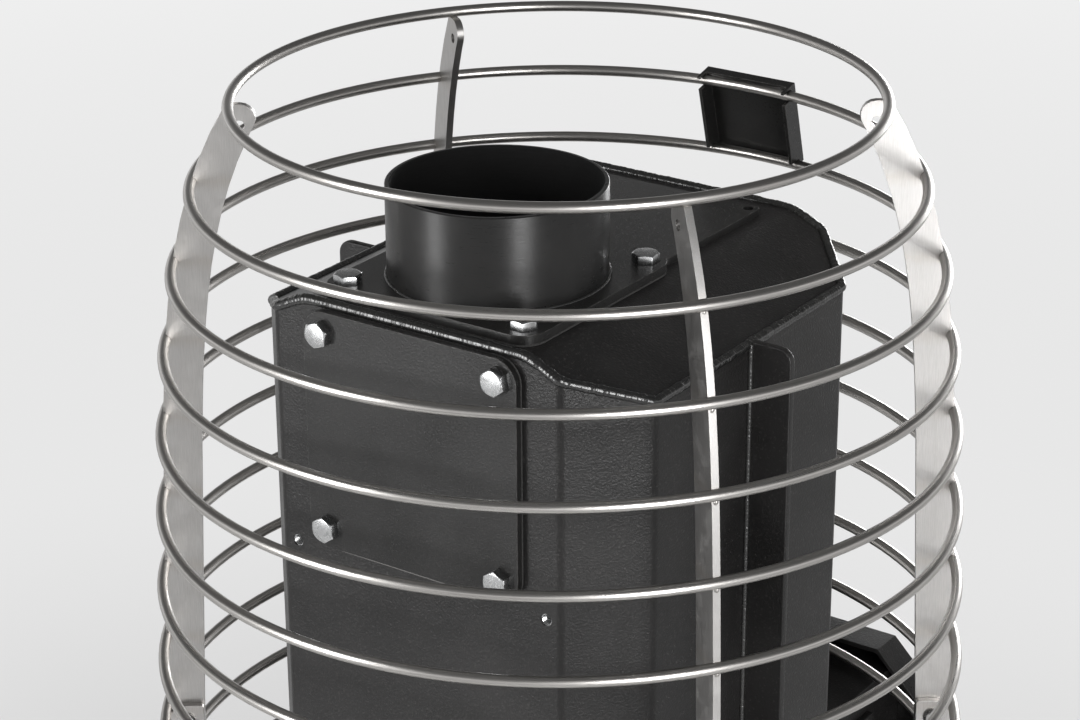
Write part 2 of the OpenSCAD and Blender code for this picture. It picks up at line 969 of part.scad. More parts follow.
module hinge_brackets() {
    about_axis([0.13, 0.13, 0.13])
        for (z = hinge_places())
            translate([hinge_x, hinge_y, z - hinge_low_h - body_gap])
                difference() {
                    union() {
                        cylinder(h = hinge_low_h, r = knuckle_r);
                        translate([-knuckle_r, 0, 0])
                            cube([2 * knuckle_r, knuckle_r + hinge_gap, hinge_low_h]);
                    }
                    translate([0, 0, -over])
                        cylinder(h = hinge_low_h + 2 * over, d = pin_d + 2 * weld_fit);
                }
}

module hinge_pins() {
    about_axis("silver")
        for (z = hinge_places())
            translate([hinge_x, hinge_y, z - hinge_low_h - body_gap]) {
                cylinder(h = hinge_low_h + hinge_up_h, d = pin_d);
                translate([0, 0, -pin_head_h])
                    cylinder(h = pin_head_h, r = pin_head_r);
            }
}

// Sprung strip behind the casing plate, whose rounded nose the closed door rests against
module door_catch() {
    back = casing_front_y + sheet_t;
    about_axis("silver")
        translate([0, 0, door_mid_z - catch_h / 2])
            linear_extrude(catch_h) {
                translate([catch_x + catch_r - catch_t, back])
                    square([catch_tail, catch_t]);
                intersection() {
                    translate([catch_x, back])
                        difference() {
                            circle(catch_r);
                            circle(catch_r - catch_t);
                        }
                    translate([catch_x - catch_r, back - catch_r])
                        square([2 * catch_r, catch_r]);
                }
            }
}

// Turned knob along its own axis, from its foot to its face
module knob(length, width) {
    rotate([90, 0, 0])
        rotate_extrude()
            polygon([
                [0, 0], [knob_base_d / 2, 0], [knob_base_d / 2, 0.08 * length],
                [knob_neck_d / 2, 0.16 * length], [knob_neck_d / 2, 0.45 * length],
                [0.36 * width, 0.52 * length], [0.47 * width, 0.6 * length],
                [width / 2, 0.7 * length], [width / 2, 0.82 * length],
                [0.46 * width, 0.92 * length], [0.36 * width, length], [0, length]
            ]);
}

module door_knob() {
    about_axis("silver")
        translate([knob_x, door_front_y, door_mid_z])
            knob(knob_l, knob_d);
}

// Ash drawer, which also lets in the air for the fire

module ash_drawer() {
    length = drawer_back_y - drawer_y;
    about_axis([0.2, 0.2, 0.2])
        translate([-drawer_w / 2, drawer_y, drawer_z])
            difference() {
                cube([drawer_w, length, drawer_h]);
                translate([drawer_t, drawer_t, drawer_t])
                    cube([drawer_w - 2 * drawer_t, length - 2 * drawer_t, drawer_h]);
            }
}

module drawer_front() {
    front_h = drawer_front_top_z - drawer_front_low_z;
    about_axis([0.2, 0.2, 0.2])
        standing(drawer_y, drawer_front_t)
            difference() {
                translate([0, drawer_front_low_z + front_h / 2])
                    round_rect(door_w, front_h, door_corner_r / 2);
                for (i = [0 : air_slots - 1])
                    translate([
                        (i - (air_slots - 1) / 2) * air_slot_pitch,
                        drawer_z + drawer_h + air_slot_h / 2 + weld_fit
                    ])
                        square([air_slot_w, air_slot_h], center = true);
            }
}

module drawer_knob() {
    about_axis("silver")
        translate([0, drawer_y - drawer_front_t, (drawer_front_low_z + drawer_front_top_z) / 2])
            knob(drawer_knob_share * knob_l, drawer_knob_share * knob_d);
}

module drawer_runners() {
    front_y = casing_front_y + sheet_t;
    back_y = half_d - box_wall - ledge_w;
    about_axis([0.3, 0.3, 0.3])
        for (side = [-1, 1])
            translate([side * (runner_x + runner_w / 2) - runner_w / 2, front_y, floor_z])
                cube([runner_w, back_y - front_y, runner_h]);
}

// Base

module base_plate() {
    about_axis([0.13, 0.13, 0.13])
        translate([0, 0, foot_h])
            difference() {
                cylinder(h = base_t, r = base_r, $fn = 128);
                for (i = [0 : 3])
                    rotate([0, 0, foot_angle + 90 * i])
                        translate([foot_r, 0, -over])
                            cylinder(h = base_t + 2 * over, d = foot_stud_d + 2 * weld_fit);
            }
}

module feet() {
    about_axis("gray")
        for (i = [0 : 3])
            rotate([0, 0, foot_angle + 90 * i])
                translate([foot_r, 0, 0]) {
                    rotate_extrude()
                        polygon([
                            [0, 0], [foot_d / 2, 0], [foot_d / 2, foot_pad_h / 2],
                            [foot_stud_d / 2, foot_pad_h], [0, foot_pad_h]
                        ]);
                    cylinder(h = base_top, d = foot_stud_d);
                    translate([0, 0, foot_h - foot_flat_h])
                        cylinder(h = foot_flat_h, d = foot_flat_d, $fn = 6);
                }
}

for (i = [1 : ring_count])
    ring(i);
for (index = [0 : 3])
    upper_rib(index);
for (index = [0 : 3])
    lower_rib(index);
front_post(-1);  // front_post_left
front_post(1);  // front_post_right
rib_screws();
rib_nuts();
badge_plate();
firebox_shell();
firebox_top();
ash_floor();
side_fins();
flue_collar();
flue_flange();
plate_gaskets();
rear_cover();
plate_bolts();
fixing_nuts();
top_strip();
smoke_baffle();
firebox_ledges();
fire_grate();
door_tunnel();
door_casing();
door_frame();
door_glass();
door_seal();
glass_clips();
hinge_brackets();
hinge_pins();
door_catch();
door_knob();
ash_drawer();
drawer_front();
drawer_knob();
drawer_runners();
base_plate();
feet();
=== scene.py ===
import math

import bmesh
import bpy
from mathutils import Matrix, Vector


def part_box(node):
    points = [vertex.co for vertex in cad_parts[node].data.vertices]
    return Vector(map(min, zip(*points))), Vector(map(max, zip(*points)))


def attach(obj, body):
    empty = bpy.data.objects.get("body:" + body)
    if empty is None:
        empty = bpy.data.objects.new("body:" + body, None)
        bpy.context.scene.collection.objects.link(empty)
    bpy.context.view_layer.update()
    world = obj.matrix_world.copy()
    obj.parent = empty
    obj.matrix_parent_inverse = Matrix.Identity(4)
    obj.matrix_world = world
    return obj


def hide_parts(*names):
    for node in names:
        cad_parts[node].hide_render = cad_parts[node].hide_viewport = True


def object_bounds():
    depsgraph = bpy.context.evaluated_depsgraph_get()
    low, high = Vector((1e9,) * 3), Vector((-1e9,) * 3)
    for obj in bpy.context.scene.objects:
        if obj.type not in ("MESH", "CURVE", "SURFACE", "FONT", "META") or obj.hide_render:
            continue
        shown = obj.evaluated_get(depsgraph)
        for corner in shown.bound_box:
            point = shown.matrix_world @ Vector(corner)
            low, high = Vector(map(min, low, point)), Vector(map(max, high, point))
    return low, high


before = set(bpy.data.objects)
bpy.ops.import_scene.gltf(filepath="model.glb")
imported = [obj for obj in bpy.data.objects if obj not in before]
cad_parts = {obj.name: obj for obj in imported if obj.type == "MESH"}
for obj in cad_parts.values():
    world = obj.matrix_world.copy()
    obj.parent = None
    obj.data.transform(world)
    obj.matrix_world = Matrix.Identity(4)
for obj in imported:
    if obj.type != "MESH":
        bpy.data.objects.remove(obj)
cad_low, cad_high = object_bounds()

# Camera
# The photograph looks down on the stove from behind and to its left with a long lens. The camera's
# place, turn and focal length were fitted to the ellipses of the nine rings that it shows whole.
MM = 0.001
WIDEST_RING = 9
belly_low, belly_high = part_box(f"ring_{WIDEST_RING:02d}")
AXIS = Vector((0, (belly_low.y + belly_high.y) / 2, 0))
PHOTO_WIDTH = 1080
FOCAL_PIXELS = 2858.4
CAMERA_AZIMUTH = math.radians(214.5)
CAMERA_DISTANCE = 1421.5 * MM
CAMERA_HEIGHT = 1230.5 * MM
CAMERA_PITCH = math.radians(22.854)
CAMERA_YAW = math.radians(-0.409)
CAMERA_ROLL = math.radians(-0.338)


def new_object(name, data):
    """A new object, linked into the scene."""
    made = bpy.data.objects.new(name, data)
    bpy.context.collection.objects.link(made)
    return made


camera = new_object("camera", bpy.data.cameras.new("camera"))
camera.data.lens = camera.data.sensor_width * FOCAL_PIXELS / PHOTO_WIDTH
camera.data.clip_start = 0.05
camera.data.clip_end = 50

turn = Matrix.Rotation(CAMERA_AZIMUTH, 3, "Z")
level_right = turn @ Vector((math.cos(CAMERA_YAW), -math.sin(CAMERA_YAW), 0))
level_ahead = turn @ Vector((math.sin(CAMERA_YAW), math.cos(CAMERA_YAW), 0))
ahead = level_ahead * math.cos(CAMERA_PITCH) - Vector((0, 0, math.sin(CAMERA_PITCH)))
level_up = level_ahead * math.sin(CAMERA_PITCH) + Vector((0, 0, math.cos(CAMERA_PITCH)))
right = level_right * math.cos(CAMERA_ROLL) + level_up * math.sin(CAMERA_ROLL)
up = level_up * math.cos(CAMERA_ROLL) - level_right * math.sin(CAMERA_ROLL)
place = AXIS + turn @ Vector((0, -CAMERA_DISTANCE, 0)) + Vector((0, 0, CAMERA_HEIGHT))
camera.matrix_world = Matrix((
    (right.x, up.x, -ahead.x, place.x),
    (right.y, up.y, -ahead.y, place.y),
    (right.z, up.z, -ahead.z, place.z),
    (0, 0, 0, 1),
))
bpy.context.scene.camera = camera

# Studio
# A pale floor under soft lamps. It keeps the stove's shadow and turns to an even pale tone further
# off. The world is white to the camera, dark overhead in reflections, and an even light otherwise.


def add(tree, kind, links=None, **props):
    """Adds a node. links gives an input, by its name or number, a value or another node's output."""
    made = tree.nodes.new(kind)
    for name, value in props.items():
        setattr(made, name, value)
    for key, value in (links or {}).items():
        if isinstance(value, bpy.types.NodeSocket):
            tree.links.new(value, made.inputs[key])
        else:
            made.inputs[key].default_value = value
    return made


def math_node(tree, operation, first, second=0.0):
    return add(tree, "ShaderNodeMath", {0: first, 1: second}, operation=operation).outputs[0]


def times(tree, first, second):
    return math_node(tree, "MULTIPLY", first, second)


def vector_math(tree, operation, *values):
    """A length, a distance or a dot product is a number; the other results are vectors."""
    made = add(tree, "ShaderNodeVectorMath", dict(enumerate(values)), operation=operation)
    return made.outputs["Value" if operation in ("LENGTH", "DISTANCE", "DOT_PRODUCT") else "Vector"]


def spread(tree, value, low, high, to_low=0.0, to_high=1.0, ease="LINEAR"):
    """Maps value from low..high to to_low..to_high and clamps it."""
    links = {"Value": value, "From Min": low, "From Max": high, "To Min": to_low, "To Max": to_high}
    return add(tree, "ShaderNodeMapRange", links, interpolation_type=ease).outputs[0]


def object_space(tree):
    return add(tree, "ShaderNodeTexCoord").outputs["Object"]


def ray_masks(tree):
    """Masks of the rays that see the surface, straight or through glass, and of the mirrored rays."""
    path = add(tree, "ShaderNodeLightPath").outputs
    direct = math_node(tree, "MAXIMUM", path["Is Camera Ray"], path["Is Transmission Ray"])
    return direct, path["Is Glossy Ray"]


def new_finish(name, colour, roughness, metallic=0.0, **constants):
    """A material, its node tree, and the inputs of its own Principled BSDF with plain values."""
    made = bpy.data.materials.new(name)
    made.use_nodes = True
    shader = made.node_tree.nodes["Principled BSDF"].inputs
    plain = {"Base Color": (*colour, 1), "Roughness": roughness, "Metallic": metallic, **constants}
    for label, value in plain.items():
        shader[label.replace("_", " ")].default_value = value
    return made, made.node_tree, shader


FLOOR_SIZE = 14.0
FLOOR_GREY = 0.66
FLOOR_PALE = 0.80
FLOOR_SHEEN = 0.7
LIT_REACH = 0.5
PALE_REACH = 1.3
PALE_END = FLOOR_SIZE * 0.45
WORLD_LIGHT = 0.34
CEILING_GREY = 0.12
LAMPS = {
    "right_softbox": dict(bearing=238, height=0.8, reach=2.3, wide=0.6, tall=1.6, watts=40),
    "left_softbox": dict(bearing=152, height=0.8, reach=2.3, wide=0.6, tall=1.6, watts=38),
    "front_softbox": dict(bearing=8, height=0.5, reach=2.5, wide=1.1, tall=1.0, watts=32),
    "side_softbox": dict(bearing=76, height=0.6, reach=2.7, wide=0.9, tall=1.2, watts=24, mirrored=False),
    "top_lamp": dict(bearing=200, height=3.0, reach=0.9, wide=1.6, tall=1.6, watts=32, mirrored=False),
}

scene = bpy.context.scene
scene.view_settings.view_transform = "Standard"
scene.world = bpy.data.worlds.new("studio")
scene.world.use_nodes = True
sky = scene.world.node_tree
sky.nodes.clear()
seen, mirrored = ray_masks(sky)
direction = add(sky, "ShaderNodeTexCoord").outputs["Generated"]
upward = add(sky, "ShaderNodeSeparateXYZ", {0: direction}).outputs["Z"]
walls = spread(sky, upward, 0.04, 0.3, 1.0, CEILING_GREY, ease="SMOOTHSTEP")
plain = spread(sky, seen, 0.0, 1.0, WORLD_LIGHT, 1.0)
level = add(sky, "ShaderNodeMix", {0: mirrored, 2: plain, 3: walls}, data_type="FLOAT").outputs[0]
light = add(sky, "ShaderNodeBackground", {"Color": (1, 1, 1, 1), "Strength": level})
add(sky, "ShaderNodeOutputWorld", {"Surface": light.outputs[0]})

for name, lamp in LAMPS.items():
    data = bpy.data.lights.new(name, "AREA")
    data.shape = "RECTANGLE"
    data.size = lamp["wide"]
    data.size_y = lamp["tall"]
    data.energy = lamp["watts"]
    thing = new_object(name, data)
    thing.visible_camera = False
    thing.visible_glossy = lamp.get("mirrored", True)
    bearing = math.radians(lamp["bearing"])
    spot = AXIS + Vector((math.sin(bearing), -math.cos(bearing), 0)) * lamp["reach"]
    thing.location = spot + Vector((0, 0, lamp["height"]))
    aim = AXIS + Vector((0, 0, cad_high.z / 2)) - thing.location
    thing.rotation_mode = "QUATERNION"
    thing.rotation_quaternion = aim.to_track_quat("-Z", "Y")

half = FLOOR_SIZE / 2
floor_corners = [(-half, -half, 0), (half, -half, 0), (half, half, 0), (-half, half, 0)]
floor_mesh = bpy.data.meshes.new("studio_floor")
floor_mesh.from_pydata(floor_corners, [], [(0, 1, 2, 3)])
floor = new_object("studio_floor", floor_mesh)
floor_paint, ground, _ = new_finish("studio_floor", (FLOOR_GREY, FLOOR_GREY, FLOOR_GREY), 0.9)
seen, mirrored = ray_masks(ground)
away = vector_math(ground, "DISTANCE", object_space(ground), tuple(AXIS))
pale = spread(ground, away, PALE_REACH, PALE_END, FLOOR_PALE, 1.0, ease="SMOOTHSTEP")
far = spread(ground, away, LIT_REACH, PALE_REACH, ease="SMOOTHSTEP")
blend = times(ground, math_node(ground, "MAXIMUM", seen, mirrored), far)
toned = spread(ground, mirrored, 0.0, 1.0, 1.0, FLOOR_SHEEN)
glow = add(ground, "ShaderNodeEmission", {"Strength": times(ground, pale, toned)})
lit = ground.nodes["Principled BSDF"]
mixed = add(ground, "ShaderNodeMixShader", {0: blend, 1: lit.outputs[0], 2: glow.outputs[0]})
ground.links.new(mixed.outputs[0], ground.nodes["Material Output"].inputs["Surface"])
floor_mesh.materials.append(floor_paint)

# Rings of the cage
# Closed hoops of round stainless rod, bent and butt-welded. Drawing leaves fine lines that run
# along the rod, and handling leaves duller patches.


def new_group(name, inputs, outputs, kind="ShaderNodeTree"):
    """A node group, the sockets that its nodes read, and those that they feed.

    inputs gives each socket's kind, or for a float or a whole number its value; outputs gives kinds.
    """
    tree = bpy.data.node_groups.new(name, kind)
    for label, given in inputs.items():
        sort = "Int" if isinstance(given, int) else "Float" if isinstance(given, float) else given
        socket = tree.interface.new_socket(label, in_out="INPUT", socket_type=f"NodeSocket{sort}")
        if sort is not given:
            socket.default_value = given
    for label, sort in outputs.items():
        tree.interface.new_socket(label, in_out="OUTPUT", socket_type=f"NodeSocket{sort}")
    return tree, tree.nodes.new("NodeGroupInput").outputs, tree.nodes.new("NodeGroupOutput").inputs


def use(tree, group, **values):
    """Places a shader group with its own values, named with _ for a space, and gives its outputs."""
    links = {label.replace("_", " "): value for label, value in values.items()}
    return add(tree, "ShaderNodeGroup", links, node_tree=group).outputs


def feed(tree, sockets, **sources):
    """Links nodes' outputs to the sockets of these names, written with _ for a space."""
    for label, source in sources.items():
        tree.links.new(source, sockets[label.replace("_", " ")])


def plus(tree, first, second):
    return math_node(tree, "ADD", first, second)


def minus(tree, first, second):
    return math_node(tree, "SUBTRACT", first, second)


def noise(tree, vector, scale, detail=4.0, roughness=0.55):
    links = {"Vector": vector, "Scale": scale, "Detail": detail, "Roughness": roughness}
    return add(tree, "ShaderNodeTexNoise", links).outputs["Fac"]


def tint(tree, factor, *colours):
    """Mixes two colours; a colour may be a plain triple or a node's output."""
    first, second = (c if isinstance(c, bpy.types.NodeSocket) else (*c, 1) for c in colours)
    return add(tree, "ShaderNodeMix", {0: factor, 6: first, 7: second}, data_type="RGBA").outputs[2]


def bump(tree, height, strength, distance, **more):
    links = {"Height": height, "Strength": strength, "Distance": distance, **more}
    return add(tree, "ShaderNodeBump", links).outputs["Normal"]


def build_hoop_space():
    """Coordinates that run round the cage: across the rod in X and Y, along it in Z."""
    tree, source, sink = new_group("hoop_space", {"Axis Y": 0.0, "Stretch": 0.003}, {"Vector": "Vector"})
    xyz = add(tree, "ShaderNodeSeparateXYZ", {0: object_space(tree)}).outputs
    y = minus(tree, xyz["Y"], source["Axis Y"])
    away = vector_math(tree, "LENGTH", add(tree, "ShaderNodeCombineXYZ", {"X": xyz["X"], "Y": y}).outputs[0])
    along = times(tree, math_node(tree, "ARCTAN2", xyz["X"], y), source["Stretch"])
    space = add(tree, "ShaderNodeCombineXYZ", {"X": away, "Y": xyz["Z"], "Z": along})
    feed(tree, sink, Vector=space.outputs[0])
    return tree


def build_drawn_lines():
    """Fine lines along Z of the given space, with duller patches."""
    tree, source, sink = new_group("drawn_lines", {"Vector": "Vector", "Lines": 2600.0, "Patches": 30.0},
                                   {"Height": "Float", "Dullness": "Float"})
    lines = noise(tree, source["Vector"], source["Lines"], 3.0, 0.7)
    patches = noise(tree, source["Vector"], source["Patches"], 4.0, 0.6)
    dull = times(tree, spread(tree, lines, 0.38, 0.64), 0.65)
    patched = times(tree, spread(tree, patches, 0.35, 0.7), 0.35)
    feed(tree, sink, Height=lines, Dullness=plus(tree, dull, patched))
    return tree


drawn_lines = build_drawn_lines()

ROD_BRIGHT = (0.56, 0.545, 0.525)
ROD_DULL = (0.35, 0.335, 0.32)
rod_steel, tree, shader = new_finish("rod_steel", ROD_BRIGHT, 0.32, metallic=1.0)
space = use(tree, build_hoop_space(), Axis_Y=AXIS.y)
lines = use(tree, drawn_lines, Vector=space["Vector"], Lines=1000.0, Patches=30.0)
feed(tree, shader, Base_Color=tint(tree, lines["Dullness"], ROD_BRIGHT, ROD_DULL),
     Roughness=spread(tree, lines["Dullness"], 0.0, 1.0, 0.26, 0.4),
     Normal=bump(tree, lines["Height"], 0.03, 0.1 * MM))


def dress(node, material):
    """Gives a carried-over CAD node a material in place of its own."""
    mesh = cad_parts[node].data
    mesh.materials.clear()
    mesh.materials.append(material)


RING_COUNT = 17
for i in range(1, RING_COUNT + 1):
    dress(f"ring_{i:02d}", rod_steel)

# Ribs of the cage
# Flat stainless plates, laser cut with a half-round notch for each rod. Their edges are lightly
# broken, the faces keep the mill's fine grain, and each weld leaves a straw-brown tint.


def plain_mesh(thing, name):
    """The mesh that an object's modifiers make. The object itself is removed."""
    bpy.context.view_layer.update()
    result = thing.evaluated_get(bpy.context.evaluated_depsgraph_get())
    mesh = bpy.data.meshes.new_from_object(result)
    mesh.name = name
    bpy.data.objects.remove(thing)
    return mesh


def new_piece(name, mesh, body, slot, *nodes):
    """A finished piece, the body it moves with, and the nodes it stands for."""
    piece = new_object(name, mesh)
    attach(piece, body)
    if nodes:
        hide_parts(*nodes)
    return piece


def soften(node, material, slot, body="stove", *, edge, segments=2, angle=30.0):
    """A copy of a CAD node with its edges rounded by edge, which then stands for the node."""
    work = bmesh.new()
    work.from_mesh(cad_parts[node].data)
    bmesh.ops.remove_doubles(work, verts=work.verts, dist=0.002 * MM)
    bmesh.ops.dissolve_limit(work, angle_limit=math.radians(0.6), verts=work.verts, edges=work.edges)
    sharp = bpy.data.meshes.new(f"{node}_sharp")
    work.to_mesh(sharp)
    work.free()
    sharp.shade_smooth()
    holder = new_object(f"{node}_sharp", sharp)
    rounding = holder.modifiers.new("rounding", "BEVEL")
    rounding.width = edge
    rounding.segments = segments
    rounding.limit_method = "ANGLE"
    rounding.angle_limit = math.radians(angle)
    rounding.miter_outer = "MITER_ARC"
    holder.modifiers.new("even_faces", "WEIGHTED_NORMAL")
    mesh = plain_mesh(holder, f"{node}_piece")
    mesh.materials.append(material)
    new_piece(f"{node}_piece", mesh, body, slot, node)


RING_PITCH = 45 * MM
LOW_RING = 60 * MM
RIB_GREY = (0.53, 0.52, 0.51)
RIB_DULL = (0.41, 0.40, 0.39)
HEAT_STRAW = (0.40, 0.29, 0.17)


def build_weld_heat():
    """Mask that is 1 at the rods' heights and fades unevenly within a few millimetres."""
    tree, source, sink = new_group(
        "weld_heat", {"First Height": LOW_RING, "Pitch": RING_PITCH, "Reach": 8 * MM}, {"Mask": "Float"})
    here = object_space(tree)
    z = add(tree, "ShaderNodeSeparateXYZ", {0: here}).outputs["Z"]
    steps = math_node(tree, "DIVIDE", minus(tree, z, source["First Height"]), source["Pitch"])
    off = math_node(tree, "ABSOLUTE", minus(tree, steps, math_node(tree, "ROUND", steps)))
    ragged = times(tree, noise(tree, here, 260.0, 3.0), 7 * MM)
    far = math_node(tree, "DIVIDE", plus(tree, times(tree, off, source["Pitch"]), ragged), source["Reach"])
    feed(tree, sink, Mask=spread(tree, far, 0.45, 1.15, 1.0, 0.0))
    return tree


rib_steel, tree, shader = new_finish("rib_steel", RIB_GREY, 0.34, metallic=1.0)
here = object_space(tree)
grain_space = add(tree, "ShaderNodeMapping", {"Vector": here, "Scale": (1.0, 1.0, 0.03)}).outputs[0]
lines = use(tree, drawn_lines, Vector=grain_space, Lines=3200.0, Patches=22.0)
milled = tint(tree, lines["Dullness"], RIB_GREY, RIB_DULL)
heat = times(tree, use(tree, build_weld_heat())["Mask"], 0.1)
scuffs = times(tree, spread(tree, noise(tree, here, 90.0, 6.0, 0.7), 0.5, 0.75), 0.12)
feed(tree, shader, Base_Color=tint(tree, heat, milled, HEAT_STRAW),
     Roughness=plus(tree, spread(tree, lines["Dullness"], 0.0, 1.0, 0.28, 0.44), scuffs),
     Normal=bump(tree, lines["Height"], 0.2, 0.05 * MM))

RIB_PLACES = ("rear_right", "rear_left", "front_left", "front_right")
RIB_EDGE = 0.35 * MM
for place_name in RIB_PLACES:
    for part in ("upper_rib", "lower_rib"):
        soften(f"{part}_{place_name}", rib_steel, "cage_steel", edge=RIB_EDGE)

# Rod welds
# Each rod lies in its notch and is tacked to the rib with one small bead just below it, on the
# side where the welder reached it. The beads are left bright.


def lathe(name, profile, segments, close=False, radius_at=None, sharp=35.0):
    """Turns a profile of (radius, height) pairs about Z. radius_at bends a radius by its angle."""
    work = bmesh.new()
    rings = []
    for r, z in profile:
        if r == 0:
            rings.append([work.verts.new((0, 0, z))])
            continue
        ring = []
        for k in range(segments):
            a = 2 * math.pi * k / segments
            rr = radius_at(r, z, a) if radius_at else r
            ring.append(work.verts.new((rr * math.cos(a), rr * math.sin(a), z)))
        rings.append(ring)
    pairs = list(zip(rings, rings[1:]))
    if close:
        pairs.append((rings[-1], rings[0]))
    for a, b in pairs:
        for k in range(segments):
            n = (k + 1) % segments
            if len(a) == 1:
                work.faces.new((a[0], b[n], b[k]))
            elif len(b) == 1:
                work.faces.new((a[k], a[n], b[0]))
            else:
                work.faces.new((a[k], a[n], b[n], b[k]))
    bmesh.ops.recalc_face_normals(work, faces=work.faces)
    mesh = bpy.data.meshes.new(name)
    work.to_mesh(mesh)
    work.free()
    mesh.shade_smooth()
    mesh.set_sharp_from_angle(angle=math.radians(sharp))
    return mesh


def random_float(tree, low, high, seed):
    """A random number for each point. The node's float Min and Max are its inputs 2 and 3."""
    return add(tree, "FunctionNodeRandomValue", {2: low, 3: high, "Seed": seed}, data_type="FLOAT").outputs[1]


def build_set_parts():
    """Geometry Nodes: sets one made part on each point, turned to the point's own directions."""
    tree, source, sink = new_group(
        "set_parts", {"Places": "Geometry", "Part": "Object", "Spin": 0.0, "Size Spread": 0.0, "Seed": 3,
                      "Finish": "Material"}, {"Parts": "Geometry"}, "GeometryNodeTree")
    part = add(tree, "GeometryNodeObjectInfo", {"Object": source["Part"]}, transform_space="ORIGINAL")
    facing, along = (
        add(tree, "GeometryNodeInputNamedAttribute", {"Name": label}, data_type="FLOAT_VECTOR").outputs[0]
        for label in ("facing", "along"))
    aimed = add(tree, "FunctionNodeAlignRotationToVector", {"Vector": facing}, axis="Z").outputs[0]
    turned = add(tree, "FunctionNodeAlignRotationToVector", {"Rotation": aimed, "Vector": along}, axis="X",
                 pivot_axis="Z").outputs[0]
    angle = random_float(tree, times(tree, source["Spin"], -1.0), source["Spin"], source["Seed"])
    about = add(tree, "ShaderNodeCombineXYZ", {"Z": angle}).outputs[0]
    spin = add(tree, "FunctionNodeEulerToRotation", {0: about}).outputs[0]
    spun = add(tree, "FunctionNodeRotateRotation", {0: turned, 1: spin}, rotation_space="LOCAL").outputs[0]
    size = random_float(tree, minus(tree, 1.0, source["Size Spread"]), plus(tree, 1.0, source["Size Spread"]),
                        source["Seed"])
    placed = add(tree, "GeometryNodeInstanceOnPoints", {
        "Points": source["Places"], "Instance": part.outputs["Geometry"], "Rotation": spun, "Scale": size})
    real = add(tree, "GeometryNodeRealizeInstances", {"Geometry": placed.outputs[0]})
    done = add(tree, "GeometryNodeSetMaterial", {"Geometry": real.outputs[0], "Material": source["Finish"]})
    feed(tree, sink, Parts=done.outputs[0])
    return tree


set_parts = build_set_parts()


def run_nodes(thing, group, values):
    """Puts a Geometry Nodes group on an object and sets its inputs by their identifiers."""
    modifier = thing.modifiers.new(group.name, "NODES")
    modifier.node_group = group
    for item in group.interface.items_tree:
        if item.item_type == "SOCKET" and item.in_out == "INPUT" and item.name in values:
            modifier[item.identifier] = values[item.name]


def scatter(name, mesh, places, material, slot, *nodes, **values):
    """Sets copies of a mesh at (point, facing, along) places and joins them in one piece of the stove."""
    part = bpy.data.objects.new(f"{name}_part", mesh)
    spots = bpy.data.meshes.new(f"{name}_spots")
    spots.from_pydata([spot[0] for spot in places], [], [])
    for label, index in (("facing", 1), ("along", 2)):
        data = spots.attributes.new(label, "FLOAT_VECTOR", "POINT").data
        for k, spot in enumerate(places):
            data[k].vector = spot[index]
    holder = new_object(f"{name}_holder", spots)
    values = {label.replace("_", " "): value for label, value in values.items()}
    run_nodes(holder, set_parts, {"Part": part, "Finish": material, **values})
    made = plain_mesh(holder, name)
    bpy.data.objects.remove(part)
    for label in ("facing", "along"):
        made.attributes.remove(made.attributes[label])
    new_piece(name, made, "stove", slot, *nodes)


RIB_ANGLE = math.radians(35)
RIB_SIDE_STEP = 4.05 * MM
ROD_R = 3 * MM
TACK_R = 1.5 * MM
TACK_DROP = 0.3 * MM


def ring_radius(i):
    low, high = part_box(f"ring_{i:02d}")
    return (high.x - low.x) / 2 - ROD_R


def rib_place(index, radius, beside):
    """Point in a rib's plane at a radius, and the rib's own outward direction."""
    angle = RIB_ANGLE if index < 2 else -RIB_ANGLE
    flip = -1 if index in (1, 2) else 1
    outward = Vector((math.cos(angle), math.sin(angle), 0))
    across = Vector((-math.sin(angle), math.cos(angle), 0))
    spot = outward * math.sqrt(radius ** 2 - beside ** 2) + across * beside
    return Vector((spot.x * flip, spot.y, 0)), Vector((outward.x * flip, outward.y, 0))


tack_profile = [(0, -1.0), (0.5, -0.87), (0.87, -0.5), (1.0, 0.0), (0.9, 0.45), (0.62, 0.8), (0, 0.95)]
tack = lathe("tack", tack_profile, segments=14)
tack.transform(Matrix.Diagonal((TACK_R, TACK_R * 0.9, TACK_R * 1.15, 1)))
tack_places = []
for i in range(1, RING_COUNT + 1):
    height = LOW_RING + (RING_COUNT - i) * RING_PITCH
    for index in range(4):
        spot, outward = rib_place(index, ring_radius(i), RIB_SIDE_STEP if i > WIDEST_RING else 0)
        down = height - ROD_R - TACK_DROP
        tack_places.append((spot + AXIS + Vector((0, 0, down)), (0, 0, 1), tuple(outward)))
scatter("rod_tacks", tack, tack_places, rod_steel, "cage_steel", Spin=0.2, Size_Spread=0.14, Seed=11)

# Firebox
# A welded box of 5 mm steel plate, bent at its upright corners, under a folded top. It is coated
# with heat-proof satin black, whose fine grain shows where the light grazes it.
PAINT_BLACK = (0.0078, 0.0074, 0.0073)
PAINT_GREY = (0.0155, 0.0147, 0.0145)
BARE_EDGE = (0.09, 0.086, 0.082)


def build_worn_edge():
    """Mask of the edges, broken up by noise, from how far a rounded normal leans from the plain one."""
    tree, source, sink = new_group("worn_edge", {"Radius": 1 * MM, "Break Up": 220.0}, {"Mask": "Float"})
    rounded = add(tree, "ShaderNodeBevel", {"Radius": source["Radius"]}, samples=6).outputs[0]
    plain = add(tree, "ShaderNodeNewGeometry").outputs["Normal"]
    edge = spread(tree, vector_math(tree, "DOT_PRODUCT", rounded, plain), 0.995, 0.80)
    broken = spread(tree, noise(tree, object_space(tree), source["Break Up"], 5.0, 0.65), 0.38, 0.62)
    feed(tree, sink, Mask=times(tree, edge, broken))
    return tree


